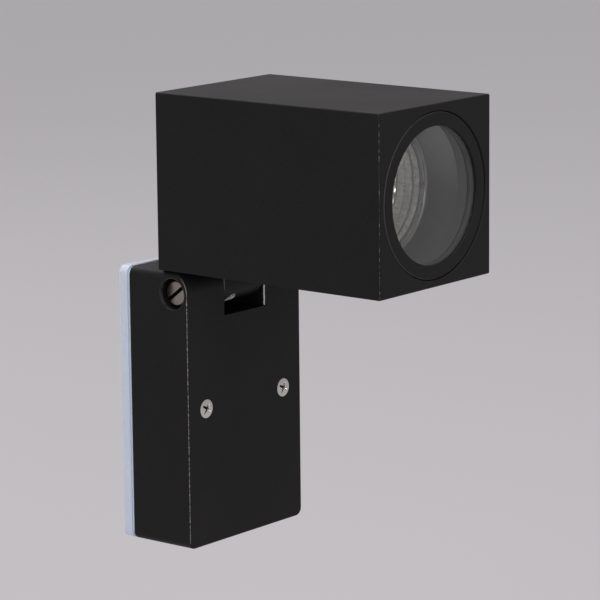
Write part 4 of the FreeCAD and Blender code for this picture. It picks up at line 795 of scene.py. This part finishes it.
def buildFacetTree():
    # one ring of pillow-shaped facets about the z axis; sizes in metres
    tree = bpy.data.node_groups.new("facetRing", "GeometryNodeTree")
    sockets = tree.interface
    sockets.new_socket("Geometry", in_out="OUTPUT", socket_type="NodeSocketGeometry")
    for label, kind in (("Count", "Int"), ("Radius", "Float"), ("Height", "Float"),
                        ("Width", "Float"), ("Length", "Float"), ("Bulge", "Float"),
                        ("Slope", "Float"), ("Finish", "Material")):
        sockets.new_socket(label, in_out="INPUT", socket_type="NodeSocket" + kind)
    given = tree.nodes.new("NodeGroupInput").outputs
    leave = tree.nodes.new("NodeGroupOutput")
    calc = calculator(tree)

    def grow(kind, first=None, **values):
        # a node's first output; a first value goes to its first input
        node = tree.nodes.new(kind)
        if first is not None:
            feed(tree, node.inputs[0], first)
        feedAll(tree, node, **values)
        return node.outputs[0]

    def combine(**values):
        return grow("ShaderNodeCombineXYZ", **values)

    # the pillow, its length up and its face towards -x
    grid = grow("GeometryNodeMeshGrid", Vertices_X=facet["corners"],
                Vertices_Y=facet["corners"], Size_X=given["Width"], Size_Y=given["Length"])
    place = splitNode(tree, grow("GeometryNodeInputPosition"))
    falls = []
    for axis, size in (("X", "Width"), ("Y", "Length")):
        ratio = calc("DIVIDE", place[axis], calc("MULTIPLY", given[size], 0.5))
        falls.append(calc("SUBTRACT", 1.0, calc("MULTIPLY", ratio, ratio)))
    swell = calc("MULTIPLY", calc("MULTIPLY", *falls), given["Bulge"])
    pillow = grow("GeometryNodeSetPosition", grid, Offset=combine(Z=swell))
    pillow = grow("GeometryNodeSetShadeSmooth", pillow)
    pillow = grow("GeometryNodeTransform", pillow, Rotation=(math.pi / 2, 0, -math.pi / 2))
    pillow = grow("GeometryNodeTransform", pillow, Rotation=combine(Y=given["Slope"]))
    # set round the circle
    circle = grow("GeometryNodeMeshCircle", Vertices=given["Count"], Radius=given["Radius"])
    share = calc("DIVIDE", calc("MULTIPLY", grow("GeometryNodeInputIndex"), 2 * math.pi),
                 given["Count"])
    ring = grow("GeometryNodeInstanceOnPoints", circle, Instance=pillow,
                Rotation=combine(Z=share))
    ring = grow("GeometryNodeRealizeInstances", ring)
    ring = grow("GeometryNodeTransform", ring, Translation=combine(Z=given["Height"]))
    ring = grow("GeometryNodeSetMaterial", ring, Material=given["Finish"])
    feed(tree, leave.inputs[0], ring)
    return tree


def grown(tree, values):
    # runs a tree on an empty carrier with the given inputs and returns its plain mesh
    carrier = bpy.data.objects.new("carrier", bpy.data.meshes.new("carrier"))
    scene.collection.objects.link(carrier)
    modifier = carrier.modifiers.new("tree", "NODES")
    modifier.node_group = tree
    for item in tree.interface.items_tree:
        if item.item_type == "SOCKET" and item.in_out == "INPUT":
            modifier[item.identifier] = values[item.name]
    bpy.context.view_layer.update()
    evaluated = carrier.evaluated_get(bpy.context.evaluated_depsgraph_get())
    mesh = bpy.data.meshes.new_from_object(evaluated)
    carrier.modifiers.clear()
    bpy.data.objects.remove(carrier)
    return mesh


def makeReflectorFacets(tree, rows):
    wall = innerWall(facet["wallSteps"])
    bm = bmesh.new()
    for count, near, far, bulge, finishName in rows:
        first = min(wall, key=lambda p: abs(p.y - near))
        last = min(wall, key=lambda p: abs(p.y - far))
        middle = (first + last) / 2
        slope = math.atan2(first.x - last.x, last.y - first.y)
        radius = middle.x - facet["inset"]
        ring = grown(tree, {
            "Count": count, "Radius": radius * mm, "Height": middle.y * mm,
            "Width": 2 * radius * math.tan(math.pi / count) * mm * facet["wide"],
            "Length": (last - first).length * mm * facet["long"], "Bulge": bulge * mm,
            "Slope": -slope, "Finish": finishes[finishName]})
        bm.from_mesh(ring)
        bpy.data.meshes.remove(ring)
    # from the z axis to the lamp's own, whose depth runs along +y
    bmesh.ops.rotate(bm, verts=bm.verts, matrix=Matrix.Rotation(math.radians(-90), 3, "X"))
    bmesh.ops.translate(bm, verts=bm.verts, vec=lampPlace)
    return meshOf(bm, "reflectorFacets")


# a thin black ring where the front glass meets the reflector
darkRing = {"outer": 22.95, "inner": 22.2, "near": 2.86, "far": 3.3, "round": 128}


def makeDarkRing():
    g = darkRing
    profile = [(g["outer"], g["near"]), (g["outer"], g["far"]), (g["inner"], g["far"]),
               (g["inner"], g["near"])]
    return turnedMesh("lampDarkRing", profile, lampPlace, g["round"])


# the shell takes the darker copy of the coat, a painted shade
shell = newPiece("reflectorShell", makeReflectorShell(), "paintedShadeMirror", "lamp")
rim = newPiece("reflectorRim", makeReflectorRim(), "rimGlass", "lamp")
for piece in (shell, rim):
    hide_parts("lamp_reflector")
facetTree = buildFacetTree()
# facet rows in the paler and warm copies carry painted highlight and painted warm reflection
for finishName in ("mirror", "paintedHighlightMirror", "paintedWarmReflectionMirror"):
    rows = [row for row in facet["rows"] if row[-1] == finishName]
    newPiece(finishName + "Facets", makeReflectorFacets(facetTree, rows), finishName, "lamp")
newPiece("lampDarkRing", makeDarkRing(), "rubber", "lamp")
print("reflector made with", sum(row[0] for row in facet["rows"]), "facets")


coverScrew = {"head": 3.45, "edge": 0.08, "rim": 0.18, "crown": 0.30, "cone": 1.75,
              "shank": 1.62, "tip": 0.6, "chamfer": 0.5, "turns": (0.56, 0.45),
              "gap": 0.15, "loops": 21, "round": 96, "sharp": 32}
cross = {"arm": 2.35, "half": 0.36, "deep": 2.2, "taper": 0.75, "flare": 0.14,
         "flank": 0.16}


def crossDepth(x, y):
    # depth of the crossed recess at a place on the head; its arms narrow and rise outwards
    deepest = 0.0
    for along, across in ((abs(x), abs(y)), (abs(y), abs(x))):
        reach = (cross["arm"] - along) / (cross["taper"] * cross["arm"])
        half = cross["half"] + cross["flare"] * (1 - along / cross["arm"])
        flank = (half - across) / cross["flank"]
        deepest = max(deepest, min(1.0, max(0.0, reach)) * min(1.0, max(0.0, flank)))
    return cross["deep"] * deepest


def makeCoverScrew(bm, centreX, faceY, tipY, turn):
    # crowned countersunk head with a crossed recess, and a plain shank
    r = coverScrew
    steps = r["round"]
    angles = [2 * math.pi * step / steps for step in range(steps)]

    def faceAt(radius, angle):
        x, y = radius * math.cos(angle + turn), radius * math.sin(angle + turn)
        crown = -r["crown"] * (1.0 - (radius / r["head"]) ** 2)
        return faceY + (crown + crossDepth(x, y)) * mm

    def loopOf(radius, places):
        return [bm.verts.new((centreX + radius * mm * math.cos(a), y,
                              radius * mm * math.sin(a))) for a, y in zip(angles, places)]

    middle = bm.verts.new((centreX, faceAt(0.0, 0.0), 0.0))
    radii = [r["gap"] * step for step in range(1, r["loops"] + 1)]
    radii += [r["head"] - r["edge"], r["head"]]
    loops = [loopOf(radius, [faceAt(radius, a) for a in angles]) for radius in radii]
    rimY = faceY + r["rim"] * mm
    for radius, y in ((r["head"], rimY), (r["shank"], rimY + r["cone"] * mm),
                      (r["shank"], tipY - r["tip"] * mm), (r["shank"] - r["chamfer"], tipY)):
        loops.append(loopOf(radius, [y] * steps))
    for step in range(steps):
        bm.faces.new((middle, loops[0][step], loops[0][(step + 1) % steps]))
    for inner, outer in zip(loops, loops[1:]):
        for step in range(steps):
            following = (step + 1) % steps
            bm.faces.new((inner[step], outer[step], outer[following], inner[following]))
    bm.faces.new(loops[-1])


def makeCoverScrews():
    bm = bmesh.new()
    near, far = low("cover_screws"), high("cover_screws")
    for side, turn in zip((-1, 1), coverScrew["turns"]):
        makeCoverScrew(bm, side * (far.x - coverScrew["head"] * mm), near.y, far.y, turn)
    return meshOf(bm, "coverScrews", coverScrew["sharp"])


screws = newPiece("coverScrews", makeCoverScrews(), "coverSteel", "base")
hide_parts("cover_screws")
print("cover screws made")
